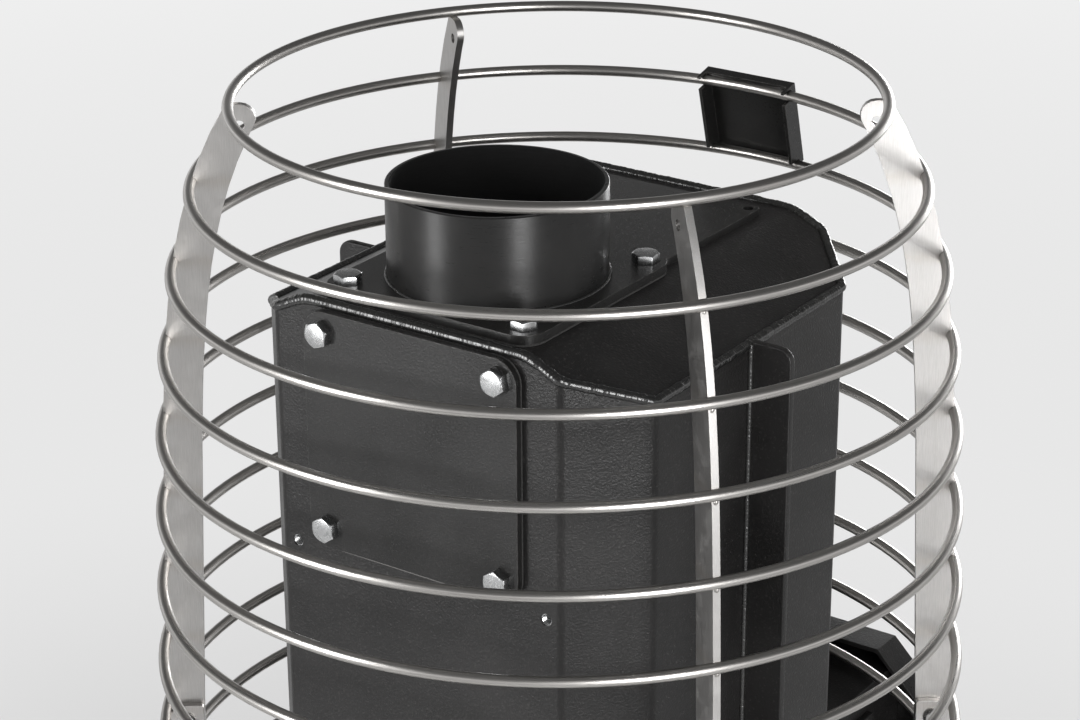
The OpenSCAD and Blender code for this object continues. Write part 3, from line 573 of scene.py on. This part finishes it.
def build_paint_grain():
    """Orange peel and fine grain of sprayed heat-proof paint, with cloudy sheen and a few specks."""
    tree, source, sink = new_group("paint_grain", {"Grain": 1500.0, "Clouds": 14.0},
                                   {"Height": "Float", "Clouds": "Float", "Specks": "Float"})
    here = object_space(tree)
    fine = noise(tree, here, source["Grain"], 2.0, 0.6)
    peel = noise(tree, here, times(tree, source["Grain"], 0.3), 2.0, 0.5)
    cells = add(tree, "ShaderNodeTexVoronoi", {"Vector": here, "Scale": times(tree, source["Grain"], 0.5)})
    specks = times(tree, spread(tree, cells.outputs["Distance"], 0.42, 0.22), spread(tree, fine, 0.46, 0.60))
    feed(tree, sink, Height=plus(tree, fine, times(tree, peel, 0.12)),
         Clouds=noise(tree, here, source["Clouds"], 5.0, 0.6), Specks=specks)
    return tree


worn_edge = build_worn_edge()
paint_grain = build_paint_grain()


def new_paint(name, dark, light, roughness, bare=BARE_EDGE, grain=820.0, relief=1.0, gloss=(0.33, 0.45),
              sheen=0.38, worn=0.45):
    """A coating or scale with grain, clouds, specks and worn edges, in its dark and light tones."""
    made, tree, shader = new_finish(name, dark, roughness, Specular_IOR_Level=sheen)
    coat = use(tree, paint_grain, Grain=grain)
    colour = tint(tree, spread(tree, coat["Clouds"], 0.35, 0.7), dark, light)
    colour = tint(tree, times(tree, coat["Specks"], 0.2), colour, bare)
    edge = times(tree, use(tree, worn_edge)["Mask"], worn)
    rough = minus(tree, spread(tree, coat["Clouds"], 0.3, 0.7, *gloss), times(tree, coat["Specks"], 0.1))
    feed(tree, shader, Base_Color=tint(tree, edge, colour, bare), Roughness=rough,
         Normal=bump(tree, coat["Height"], relief, 0.22 * MM))
    return made


stove_paint = new_paint("stove_paint", PAINT_BLACK, PAINT_GREY, 0.42)
soften("firebox_shell", stove_paint, "stove_paint", edge=0.8 * MM, angle=35)
soften("firebox_top", stove_paint, "stove_paint", edge=1.2 * MM, segments=3, angle=35)
for side in ("left", "right"):
    soften(f"front_post_{side}", stove_paint, "stove_paint", edge=0.5 * MM)
soften("side_fins", stove_paint, "stove_paint", edge=0.9 * MM)
dress("ash_floor", stove_paint)
dress("firebox_ledges", stove_paint)

# Weld beads of the firebox
# The folded top is welded to the back and front walls and to the cut corners by hand, and the
# bead of overlapping ripples is painted over with the rest.


def build_weld_bead():
    """Geometry Nodes: a rippled bead that follows a curve."""
    tree, source, sink = new_group(
        "weld_bead", {"Path": "Geometry", "Radius": 2.2 * MM, "Ripple": 2.6 * MM, "Depth": 0.10,
                      "Step": 0.5 * MM, "Finish": "Material"}, {"Bead": "Geometry"}, "GeometryNodeTree")
    even = add(tree, "GeometryNodeResampleCurve", {"Curve": source["Path"], "Length": source["Step"]},
               mode="LENGTH")
    along = add(tree, "GeometryNodeSplineParameter").outputs["Length"]
    wander = add(tree, "ShaderNodeTexNoise", {"Scale": 160.0, "Detail": 2.0}).outputs["Fac"]
    beat = plus(tree, math_node(tree, "DIVIDE", along, source["Ripple"]), times(tree, wander, 5.0))
    crest = math_node(tree, "POWER", math_node(tree, "FRACT", beat), 0.55)
    swell = times(tree, minus(tree, crest, 0.6), source["Depth"])
    girth = plus(tree, plus(tree, swell, 0.83), times(tree, wander, 0.34))
    ring = add(tree, "GeometryNodeCurvePrimitiveCircle", {"Resolution": 12, "Radius": 1.0})
    body = add(tree, "GeometryNodeCurveToMesh", {
        "Curve": even.outputs[0], "Profile Curve": ring.outputs["Curve"],
        "Scale": times(tree, girth, source["Radius"]), "Fill Caps": True})
    smooth = add(tree, "GeometryNodeSetShadeSmooth", {"Geometry": body.outputs[0]})
    real = add(tree, "GeometryNodeRealizeInstances", {"Geometry": smooth.outputs[0]})
    done = add(tree, "GeometryNodeSetMaterial", {"Geometry": real.outputs[0], "Material": source["Finish"]})
    feed(tree, sink, Bead=done.outputs[0])
    return tree


weld_bead = build_weld_bead()
bead_paint = new_paint("bead_paint", (0.006, 0.006, 0.006), (0.011, 0.011, 0.01), 0.2, relief=0.15,
                       gloss=(0.24, 0.32), sheen=1.0)


def lay_beads(name, lines, *nodes, radius, finish=bead_paint, closed=False, body="stove", slot="stove_paint",
              **sizes):
    """Rippled round beads along lists of points, as one piece."""
    curve = bpy.data.curves.new(name, "CURVE")
    curve.dimensions = "3D"
    for points in lines:
        spline = curve.splines.new("POLY")
        spline.points.add(len(points) - 1)
        for point, co in zip(spline.points, points):
            point.co = (*co, 1)
        spline.use_cyclic_u = closed
    holder = new_object(f"{name}_path", curve)
    run_nodes(holder, weld_bead, {"Radius": radius, "Finish": finish, **sizes})
    return new_piece(name, plain_mesh(holder, name), body, slot, *nodes)


shell_low, shell_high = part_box("firebox_shell")
HALF_W = (shell_high.x - shell_low.x) / 2
HALF_D = (shell_high.y - shell_low.y) / 2
FACE_HALF = 89 * MM
SIDE_HALF = 93 * MM
TOP_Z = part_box("firebox_top")[1].z
FLAT_HALF = 64 * MM
TOP_SLOPE = math.radians(25)
FOLD_R = 25 * MM


def top_height(x):
    """Height of the folded top's upper face."""
    x = abs(x)
    bend_end = FLAT_HALF + FOLD_R * math.sin(TOP_SLOPE)
    if x <= FLAT_HALF:
        return TOP_Z
    if x <= bend_end:
        return TOP_Z - FOLD_R + math.sqrt(FOLD_R ** 2 - (x - FLAT_HALF) ** 2)
    return TOP_Z - FOLD_R * (1 - math.cos(TOP_SLOPE)) - (x - bend_end) * math.tan(TOP_SLOPE)


BEND_R = 7 * MM
BEND_STEPS = 8


def plan_outline(grow):
    """Points round the firebox in plan, its bends rounded, moved outwards by grow."""
    corners = [(HALF_W, SIDE_HALF), (FACE_HALF, HALF_D), (-FACE_HALF, HALF_D), (-HALF_W, SIDE_HALF),
               (-HALF_W, -SIDE_HALF), (-FACE_HALF, -HALF_D), (FACE_HALF, -HALF_D), (HALF_W, -SIDE_HALF)]
    points = []
    for k, corner in enumerate(corners):
        here = Vector(corner)
        back = (Vector(corners[k - 1]) - here).normalized()
        on = (Vector(corners[(k + 1) % len(corners)]) - here).normalized()
        half = back.angle(on) / 2
        centre = here + (back + on).normalized() * BEND_R / math.sin(half)
        first, last = back * BEND_R / math.tan(half) + here, on * BEND_R / math.tan(half) + here
        for i in range(BEND_STEPS + 1):
            away = ((first - centre) * (BEND_STEPS - i) + (last - centre) * i).normalized()
            points.append(centre + away * (BEND_R + grow))
    return points


def fine_line(points, step):
    """A closed line with points added so that none lies further than step from the next."""
    made = []
    for a, b in zip(points, points[1:] + [points[0]]):
        count = max(1, math.ceil((b - a).length / step))
        made += [a + (b - a) * i / count for i in range(count)]
    return made


TOP_WELD_R = 2.8 * MM
TOP_WELD_IN = 1.2 * MM
top_line = [Vector((p.x, p.y, top_height(p.x))) + AXIS
            for p in fine_line(plan_outline(-TOP_WELD_IN), step=4 * MM)]
lay_beads("top_weld", [top_line], radius=TOP_WELD_R, closed=True)

WELD_OUT = 0.6 * MM
foot_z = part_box("base_plate")[1].z + WELD_OUT
foot_line = [Vector((p.x, p.y, foot_z)) + AXIS for p in fine_line(plan_outline(WELD_OUT), step=8 * MM)]
lay_beads("base_weld", [foot_line], radius=2.4 * MM, closed=True)

FIN_WELD_INSET = 1 * MM
fin_low, fin_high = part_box("side_fins")
fin_ends = (fin_low.z + FIN_WELD_INSET, fin_high.z - FIN_WELD_INSET)
fin_lines = []
for side in (-1, 1):
    for y in (fin_low.y - WELD_OUT, fin_high.y + WELD_OUT):
        x = side * (HALF_W + WELD_OUT)
        fin_lines.append([Vector((x, y, z)) for z in fin_ends])
lay_beads("fin_weld", fin_lines, radius=1.7 * MM)

tunnel_low, tunnel_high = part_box("door_tunnel")
wall_y = AXIS.y - HALF_D - 0.5 * MM
x, low, high = tunnel_high.x + WELD_OUT, tunnel_low.z, tunnel_high.z + WELD_OUT
tunnel_line = [Vector((x, wall_y, z)) for x, z in ((-x, low), (-x, high), (x, high), (x, low))]
lay_beads("tunnel_weld", [tunnel_line], radius=2.2 * MM)

# Flue collar
# A short rolled tube of 3 mm steel on a square bolted flange. Its coating is smoother than the
# plate's and shows faint lines round it from rolling. Its inner wall is painted near black, a
# painted shade inside the tube.


def arc(cx, cz, r, start, stop, steps):
    """Points of an arc from start to stop degrees."""
    angles = [math.radians(start + (stop - start) * i / steps) for i in range(steps + 1)]
    return [(cx + r * math.cos(a), cz + r * math.sin(a)) for a in angles]


collar_low, collar_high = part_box("flue_collar")
COLLAR_R = (collar_high.x - collar_low.x) / 2
COLLAR_WALL = 3 * MM
LIP = 0.7 * MM
FLUE = Vector((0, (collar_low.y + collar_high.y) / 2, 0))
COLLAR_BLACK = (0.009, 0.009, 0.009)
COLLAR_GREY = (0.017, 0.0165, 0.016)
# Near black of the painted shade on the tube's inner wall.
COLLAR_SHADE_BLACK = (0.003, 0.003, 0.003)
inner_r = COLLAR_R - COLLAR_WALL
collar_profile = (
    [(COLLAR_R, collar_low.z)]
    + arc(COLLAR_R - LIP, collar_high.z - LIP, LIP, 0, 90, steps=4)
    + arc(inner_r + LIP, collar_high.z - LIP, LIP, 90, 180, steps=4)
    + [(inner_r, collar_low.z)]
)

collar_paint, tree, shader = new_finish("collar_paint", PAINT_BLACK, 0.28, Specular_IOR_Level=0.32)
here = object_space(tree)
coat = use(tree, paint_grain, Grain=1700.0, Clouds=20.0)
edge = use(tree, worn_edge, Radius=0.9 * MM)
rolled_space = add(tree, "ShaderNodeMapping", {"Vector": here, "Scale": (0.14, 0.14, 1.0)}).outputs[0]
rolled = noise(tree, rolled_space, 900.0, 4.0, 0.7)
colour = tint(tree, spread(tree, coat["Clouds"], 0.35, 0.7), COLLAR_BLACK, COLLAR_GREY)
colour = tint(tree, times(tree, edge["Mask"], 0.4), colour, BARE_EDGE)
# Painted shade: the inner wall is darkened to near black and made rougher.
reach = vector_math(tree, "DISTANCE", vector_math(tree, "MULTIPLY", here, (1.0, 1.0, 0.0)), tuple(FLUE))
darkened = spread(tree, reach, inner_r + 0.9 * MM, inner_r + 0.4 * MM)
sheen = plus(tree, times(tree, rolled, 0.6), times(tree, coat["Clouds"], 0.4))
sheen = spread(tree, sheen, 0.3, 0.7, 0.24, 0.36)
relief = bump(tree, coat["Height"], 0.12, 0.1 * MM)
feed(tree, shader, Base_Color=tint(tree, darkened, colour, COLLAR_SHADE_BLACK),
     Roughness=plus(tree, sheen, times(tree, darkened, 0.55)),
     Normal=bump(tree, rolled, 0.22, 0.25 * MM, Normal=relief))

collar = lathe("flue_collar_piece", collar_profile, segments=192, close=True)
collar.transform(Matrix.Translation(FLUE))
collar.materials.append(collar_paint)
new_piece("flue_collar_piece", collar, "stove", "stove_paint", "flue_collar")

collar_weld = [FLUE + Vector((x, y, collar_low.z + 0.2 * MM))
               for x, y in arc(0, 0, COLLAR_R + 0.3 * MM, 0, 360, steps=180)[:-1]]
lay_beads("collar_weld", [collar_weld], radius=1.1 * MM, closed=True)

plate_paint = new_paint("plate_paint", (0.0085, 0.0083, 0.008), (0.015, 0.0147, 0.0143), 0.34, grain=1100.0,
                        relief=0.5, gloss=(0.28, 0.4), worn=0.9)
for node in ("flue_flange", "top_strip"):
    soften(node, plate_paint, "stove_paint", edge=0.6 * MM, segments=3)

# Rear cover
# The blanking plate over the second flue opening, cut from 4 mm steel to the flange's outline and
# held by four bolts. A fine bright line along its lower edge is a painted highlight.


def build_painted_highlight_line():
    """Mask of a painted highlight, a fine straight line between two points, thinner towards its ends."""
    tree, source, sink = new_group("painted_highlight_line", {"From": "Vector", "To": "Vector", "Width": 0.3 * MM},
                                   {"Mask": "Float"})
    run = vector_math(tree, "SUBTRACT", source["To"], source["From"])
    out = vector_math(tree, "SUBTRACT", object_space(tree), source["From"])
    dots = [vector_math(tree, "DOT_PRODUCT", line, run) for line in (out, run)]
    share = spread(tree, math_node(tree, "DIVIDE", *dots), 0.0, 1.0)
    nearest = add(tree, "ShaderNodeVectorMath", {0: run, "Scale": share}, operation="SCALE").outputs[0]
    bow = times(tree, share, minus(tree, 1.0, share))
    wide = times(tree, times(tree, bow, 4.0), source["Width"])
    inside = math_node(tree, "LESS_THAN", vector_math(tree, "DISTANCE", out, nearest), wide)
    feed(tree, sink, Mask=times(tree, inside, 0.8))
    return tree


LINE_INSET = 3 * MM
LINE_DEPTH = 0.2 * MM
# Colour of the painted highlight line on the cover's lower edge.
LINE_BRIGHT = (0.16, 0.155, 0.15)
cover_low, cover_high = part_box("rear_cover")
line_y, line_z = cover_high.y - LINE_DEPTH, cover_low.z + LINE_DEPTH
cover_paint = plate_paint.copy()
cover_paint.name = "cover_paint"
tree = cover_paint.node_tree
shader = tree.nodes["Principled BSDF"].inputs
# A painted highlight along the cover's lower edge, mixed into the paint's colour.
painted_highlight = use(tree, build_painted_highlight_line(), From=(cover_high.x - LINE_INSET, line_y, line_z),
             To=(cover_low.x + LINE_INSET, line_y, line_z), Width=0.42 * MM)
plain_colour = shader["Base Color"].links[0].from_socket
feed(tree, shader, Base_Color=tint(tree, painted_highlight["Mask"], plain_colour, LINE_BRIGHT))
soften("rear_cover", cover_paint, "stove_paint", edge=0.6 * MM, segments=3)

# Gaskets
# Thin sheets of pressed graphite fibre, cut to the plates' outline and clamped under the flange
# and the cover by their bolts. They show as a dark line all round.
gasket_fibre, tree, shader = new_finish("gasket_fibre", (0.035, 0.034, 0.033), 0.9)
fibres = noise(tree, object_space(tree), 900.0, 6.0, 0.75)
feed(tree, shader, Normal=bump(tree, fibres, 0.5, 0.2 * MM),
     Base_Color=tint(tree, spread(tree, fibres, 0.35, 0.65), (0.02, 0.02, 0.02), (0.05, 0.049, 0.047)))
soften("plate_gaskets", gasket_fibre, "gasket", edge=0.2 * MM)

# Hex bolts
# Zinc-plated M8 hex bolts, four in the flange and four in the cover. The heads have the turned
# chamfer of a pressed bolt, and the plating is bright with a faint crystal pattern.
ZINC_BRIGHT = (0.62, 0.625, 0.63)
ZINC_DULL = (0.36, 0.365, 0.37)
zinc, tree, shader = new_finish("zinc_plating", ZINC_BRIGHT, 0.25, metallic=1.0)
stain = noise(tree, object_space(tree), 300.0, 3.0, 0.5)
feed(tree, shader, Base_Color=tint(tree, spread(tree, stain, 0.5, 0.72), ZINC_BRIGHT, ZINC_DULL),
     Roughness=spread(tree, stain, 0.35, 0.7, 0.2, 0.32), Normal=bump(tree, stain, 0.05, 0.1 * MM))

BOLT_PITCH = 110 * MM
BOLT_FLATS = 13 * MM
BOLT_HEAD = 5.28 * MM
BOLT_R = 4 * MM
BOLT_GRIP = 14 * MM
BOLT_END = 0.8 * MM
HEAD_CHAMFER = math.radians(30)
apothem = BOLT_FLATS / 2


def hexagon(apothem, angle):
    """Radius of a hexagon at an angle."""
    sixth = math.pi / 3
    return apothem / math.cos((angle + sixth / 2) % sixth - sixth / 2)


def bolt_radius(r, z, angle):
    """Turns the head's wall, marked by a radius over its apothem, into a hexagon."""
    return hexagon(apothem, angle) if r > apothem * 0.999 else r


def bolt_mesh():
    """Head with its turned chamfer, and the shank with a plain end."""
    mesh = lathe("hex_bolt", [
        (0, -BOLT_GRIP), (BOLT_R - BOLT_END, -BOLT_GRIP), (BOLT_R, -BOLT_GRIP + BOLT_END), (BOLT_R, 0.0),
        (apothem, 0.0), (apothem, BOLT_HEAD * 0.5), (apothem, BOLT_HEAD), (apothem * 0.95, BOLT_HEAD),
        (0, BOLT_HEAD),
    ], segments=48, radius_at=bolt_radius, sharp=20)
    for v in mesh.vertices:
        r = math.hypot(v.co.x, v.co.y)
        if v.co.z > BOLT_HEAD - 0.01 * MM and r > apothem * 0.99:
            v.co.z = BOLT_HEAD - (r - apothem * 0.95) * math.tan(HEAD_CHAMFER)
    work = bmesh.new()
    work.from_mesh(mesh)
    bmesh.ops.dissolve_limit(work, angle_limit=math.radians(1), verts=work.verts, edges=work.edges)
    crisp = [e for e in work.edges if len(e.link_faces) == 2 and e.calc_face_angle() > math.radians(25)]
    bmesh.ops.bevel(work, geom=crisp, offset=0.22 * MM, segments=2, profile=0.5, affect="EDGES",
                    clamp_overlap=True)
    work.to_mesh(mesh)
    work.free()
    mesh.shade_smooth()
    mesh.set_sharp_from_angle(angle=math.radians(24))
    return mesh


cover_z = (cover_low.z + cover_high.z) / 2
corners = [(x * BOLT_PITCH / 2, y * BOLT_PITCH / 2) for x in (-1, 1) for y in (-1, 1)]
bolt_places = [(FLUE + Vector((x, y, collar_low.z)), (0, 0, 1), (1, 0, 0)) for x, y in corners]
bolt_places += [(Vector((x, cover_high.y, cover_z + z)), (0, 1, 0), (1, 0, 0)) for x, z in corners]
scatter("hex_bolts", bolt_mesh(), bolt_places, zinc, "zinc", "plate_bolts", Spin=0.5, Seed=5)

# Threaded inserts
# Two zinc-plated nuts, welded to the back wall from inside. The sleeve of each fills its hole, and
# the bright threads show a little below the wall's surface.
insert_low, insert_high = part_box("fixing_nuts")
THREAD_PITCH = 1.0 * MM
THREAD_DEPTH = 0.45 * MM
THREAD_TURNS = 9
INSERT_R = 3.15 * MM
INSERT_BORE = 2.5 * MM
INSERT_NUT = 5.77 * MM
SLEEVE = 4.3 * MM
THREAD_TOP = 4.2 * MM
FLATS_SHARE = 0.866


def insert_radius(r, z, angle):
    return hexagon(INSERT_NUT * FLATS_SHARE, angle) if r > INSERT_R * 1.1 else r


nut_depth = insert_high.y - insert_low.y
insert_profile = [(INSERT_NUT, -nut_depth), (INSERT_NUT, 0), (INSERT_R, 0), (INSERT_R, SLEEVE),
                  (INSERT_BORE + 0.3 * MM, SLEEVE)]
for i in range(THREAD_TURNS):
    z = THREAD_TOP - i * (THREAD_TOP + nut_depth) / THREAD_TURNS
    insert_profile += [(INSERT_BORE, z - THREAD_PITCH * 0.25),
                       (INSERT_BORE + THREAD_DEPTH, z - THREAD_PITCH * 0.75)]
insert_profile.append((INSERT_BORE, -nut_depth))
insert = lathe("insert", insert_profile, segments=36, close=True, radius_at=insert_radius, sharp=20)
insert_x = (insert_high.x - insert_low.x) / 2 - INSERT_NUT
insert_z = (insert_low.z + insert_high.z) / 2
insert_places = [(Vector((x, insert_high.y, insert_z)), (0, 1, 0), (1, 0, 0)) for x in (-insert_x, insert_x)]
scatter("threaded_inserts", insert, insert_places, zinc, "zinc", "fixing_nuts")

# Screws and nuts of the cage joint
# Each lower rib laps its upper rib at the widest ring. A stainless button-head screw with a
# hexagon socket goes through both, with a plain nut behind.
STEEL_BRIGHT = (0.62, 0.615, 0.605)
STEEL_DULL = (0.42, 0.415, 0.41)
stainless, tree, shader = new_finish("fastener_steel", (0.60, 0.595, 0.585), 0.25, metallic=1.0)
stain = noise(tree, object_space(tree), 420.0, 5.0, 0.65)
feed(tree, shader, Base_Color=tint(tree, spread(tree, stain, 0.4, 0.7), STEEL_BRIGHT, STEEL_DULL),
     Roughness=spread(tree, stain, 0.3, 0.7, 0.18, 0.36))
soften("rib_nuts", stainless, "stainless_fasteners", edge=0.25 * MM)

SCREW_R = 5.25 * MM
SCREW_HEAD = 3.3 * MM
SCREW_SHANK = 3.0 * MM
SCREW_END = 1.5 * MM
SCREW_CHAMFER = 0.6 * MM
HEAD_RIM = 0.25 * MM
HEAD_STEPS = 9
SOCKET_FLATS = 2.0 * MM
SOCKET_LAND = SOCKET_FLATS * 1.25
SOCKET_CHAMFER = 0.25 * MM
RIB_T = 4 * MM
NUT_HEIGHT = 4.8 * MM
screw_grip = RIB_SIDE_STEP + RIB_T + NUT_HEIGHT + SCREW_END


def screw_radius(r, z, angle):
    """The socket's wall is six-sided."""
    return hexagon(SOCKET_FLATS, angle) if z > SCREW_HEAD * 0.3 and r < SOCKET_FLATS * 1.05 else r


screw_profile = [
    (0, -screw_grip), (SCREW_SHANK - SCREW_CHAMFER, -screw_grip), (SCREW_SHANK, -screw_grip + SCREW_CHAMFER),
    (SCREW_SHANK, 0), (SCREW_R - 0.2 * MM, 0), (SCREW_R, HEAD_RIM),
]
for i in range(1, HEAD_STEPS):
    a = math.radians(90 * i / HEAD_STEPS)
    screw_profile.append((SOCKET_LAND + (SCREW_R - SOCKET_LAND) * math.cos(a),
                          HEAD_RIM + (SCREW_HEAD - HEAD_RIM) * math.sin(a)))
screw_profile += [(SOCKET_FLATS * 1.22, SCREW_HEAD), (SOCKET_FLATS, SCREW_HEAD - SOCKET_CHAMFER),
                  (SOCKET_FLATS, SCREW_HEAD * 0.36), (0, SCREW_HEAD * 0.25)]
screw = lathe("button_screw", screw_profile, segments=48, radius_at=screw_radius, sharp=28)
JOINT_R = 211 * MM
JOINT_DROP = 7 * MM
joint_z = LOW_RING + (RING_COUNT - WIDEST_RING) * RING_PITCH - JOINT_DROP
screw_places = []
for index in range(4):
    spot, outward = rib_place(index, JOINT_R, 0)
    across = Vector((-outward.y, outward.x, 0))
    across = across if across.y > 0 else -across
    seat = spot + AXIS + across * (RIB_SIDE_STEP + RIB_T / 2) + Vector((0, 0, joint_z))
    screw_places.append((seat, tuple(across), (0, 0, 1)))
scatter("joint_screws", screw, screw_places, stainless, "stainless_fasteners", "rib_screws", Spin=0.5, Seed=7)

# Bare plate on the front of the cage
# A small plate of thin steel with folded sides, slotted to clip over two rods. It is coated black
# and left without a mark.
soften("badge_plate", plate_paint, "plate_paint", edge=0.5 * MM, segments=3)

# Door casing and tunnel
# A shallow tray of folded sheet stands in front of the cage. A welded tunnel carries it through
# the stones to the firebox, and two folded brackets on its front hold the door's pins.
for node in ("door_casing", "door_tunnel", "hinge_brackets"):
    soften(node, stove_paint, "stove_paint", edge=0.5 * MM)

# Door
# A blackened iron frame, with a clear ceramic glass held from behind by four clips and sooted
# towards its edges. A knitted rope of glass fibre seals it, and the knob is turned steel.
door_iron = new_paint("door_iron", (0.02, 0.0195, 0.019), (0.05, 0.048, 0.045), 0.5, grain=900.0, relief=0.5,
                      gloss=(0.42, 0.6))
soften("door_frame", door_iron, "door_iron", "door", edge=0.9 * MM, segments=3)

GLASS_TINT = (0.5, 0.42, 0.33)
GLASS_SOOT = (0.015, 0.012, 0.01)
SOOT_FROM = 34 * MM
SOOT_FULL = 6 * MM
glass_low, glass_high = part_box("door_glass")
middle = (glass_low + glass_high) / 2
half_glass = (glass_high - glass_low) / 2
door_glass, tree, shader = new_finish("ceramic_glass", GLASS_TINT, 0.03, Transmission_Weight=1.0, IOR=1.5)
here = object_space(tree)
out = vector_math(tree, "ABSOLUTE", vector_math(tree, "SUBTRACT", here, tuple(middle)))
parts = add(tree, "ShaderNodeSeparateXYZ", {0: out}).outputs
rims = [spread(tree, parts[axis], half - SOOT_FROM, half - SOOT_FULL)
        for axis, half in (("X", half_glass.x), ("Z", half_glass.z))]
smear = times(tree, noise(tree, here, 26.0, 5.0, 0.62), 0.9)
darkened = spread(tree, plus(tree, math_node(tree, "MAXIMUM", *rims), smear), 0.55, 1.35)
feed(tree, shader, Base_Color=tint(tree, darkened, GLASS_TINT, GLASS_SOOT),
     Roughness=spread(tree, darkened, 0.0, 1.0, 0.02, 0.2))
dress("door_glass", door_glass)

rope, tree, shader = new_finish("seal_rope", (0.24, 0.23, 0.21), 0.95)
here = object_space(tree)
strands = add(tree, "ShaderNodeTexVoronoi", {"Vector": here, "Scale": 900.0}).outputs["Distance"]
smoked = times(tree, spread(tree, noise(tree, here, 60.0, 4.0, 0.6), 0.42, 0.68), 0.8)
knit = tint(tree, strands, (0.12, 0.115, 0.105), (0.34, 0.33, 0.30))
feed(tree, shader, Base_Color=tint(tree, smoked, knit, (0.03, 0.027, 0.024)),
     Normal=bump(tree, strands, 0.8, 0.4 * MM))

seal_low, seal_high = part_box("door_seal")
ROPE_R = 3 * MM
ROPE_OUTSIDE = 8 * MM
ROPE_CORNER = ROPE_OUTSIDE - ROPE_R
mid_y, half_y = (seal_low.y + seal_high.y) / 2, (seal_high.y - seal_low.y) / 2
rope_path = []
for x, z, start in ((seal_high.x, seal_high.z, 0), (seal_low.x, seal_high.z, 90),
                    (seal_low.x, seal_low.z, 180), (seal_high.x, seal_low.z, 270)):
    cx = x - ROPE_OUTSIDE if x == seal_high.x else x + ROPE_OUTSIDE
    cz = z - ROPE_OUTSIDE if z == seal_high.z else z + ROPE_OUTSIDE
    rope_path += [Vector((px, mid_y, pz)) for px, pz in arc(cx, cz, ROPE_CORNER, start, start + 90, steps=6)]
seal = lay_beads("seal_rope", [fine_line(rope_path, step=4 * MM)], "door_seal", radius=ROPE_R * 0.94,
                 finish=rope, closed=True, body="door", slot="rope_seal", Ripple=3.2 * MM, Depth=0.16)
seal.data.transform(Matrix.Translation((0, mid_y, 0)) @ Matrix.Diagonal((1, half_y / ROPE_R, 1, 1))
                    @ Matrix.Translation((0, -mid_y, 0)))

TURNED_BRIGHT = (0.60, 0.59, 0.57)
TURNED_DULL = (0.40, 0.39, 0.375)
turned_steel, tree, shader = new_finish("turned_steel", (0.56, 0.55, 0.53), 0.22, metallic=1.0)
here = object_space(tree)
turned_space = add(tree, "ShaderNodeMapping", {"Vector": here, "Scale": (0.05, 1.0, 0.05)}).outputs[0]
turning = noise(tree, turned_space, 2600.0, 3.0, 0.7)
feed(tree, shader, Base_Color=tint(tree, spread(tree, turning, 0.35, 0.7), TURNED_BRIGHT, TURNED_DULL),
     Roughness=spread(tree, turning, 0.3, 0.7, 0.16, 0.34), Normal=bump(tree, turning, 0.25, 0.05 * MM))
for node, body in (("door_knob", "door"), ("glass_clips", "door"), ("hinge_pins", "stove")):
    soften(node, turned_steel, "turned_steel", body, edge=0.3 * MM)
dress("door_catch", turned_steel)

# Ash drawer
# A bin of folded sheet behind a plate front with a row of air slots. It slides on two flat
# runners, and a few millimetres of opening set the draught.
soften("ash_drawer", stove_paint, "stove_paint", "drawer", edge=0.4 * MM)
soften("drawer_front", stove_paint, "stove_paint", "drawer", edge=0.6 * MM)
soften("drawer_knob", turned_steel, "turned_steel", "drawer", edge=0.3 * MM)
dress("drawer_runners", stove_paint)

# Grate and baffle
# The grate is raw cast iron, grey with ash. The baffle is a loose heat-proof plate that lies on
# ledges above the fire and is brown with scale.
raw_iron = new_paint("raw_iron", (0.05, 0.046, 0.042), (0.11, 0.10, 0.09), 0.7, bare=(0.2, 0.16, 0.12),
                     grain=500.0, relief=0.8, gloss=(0.6, 0.8))
soften("fire_grate", raw_iron, "grate_iron", edge=0.8 * MM)
scaled_plate = new_paint("scaled_plate", (0.08, 0.06, 0.045), (0.17, 0.13, 0.10), 0.8, bare=(0.26, 0.2, 0.15),
                         grain=400.0, relief=0.7, gloss=(0.7, 0.88))
soften("smoke_baffle", scaled_plate, "baffle_plate", edge=0.8 * MM)

# Base plate and feet
# A round coated plate carries the cage, the stones and the firebox. It stands on four zinc-plated
# feet, each a threaded stud with a disc below and a hexagon for the spanner.
soften("base_plate", stove_paint, "stove_paint", edge=0.5 * MM)
soften("feet", zinc, "zinc", edge=0.3 * MM)
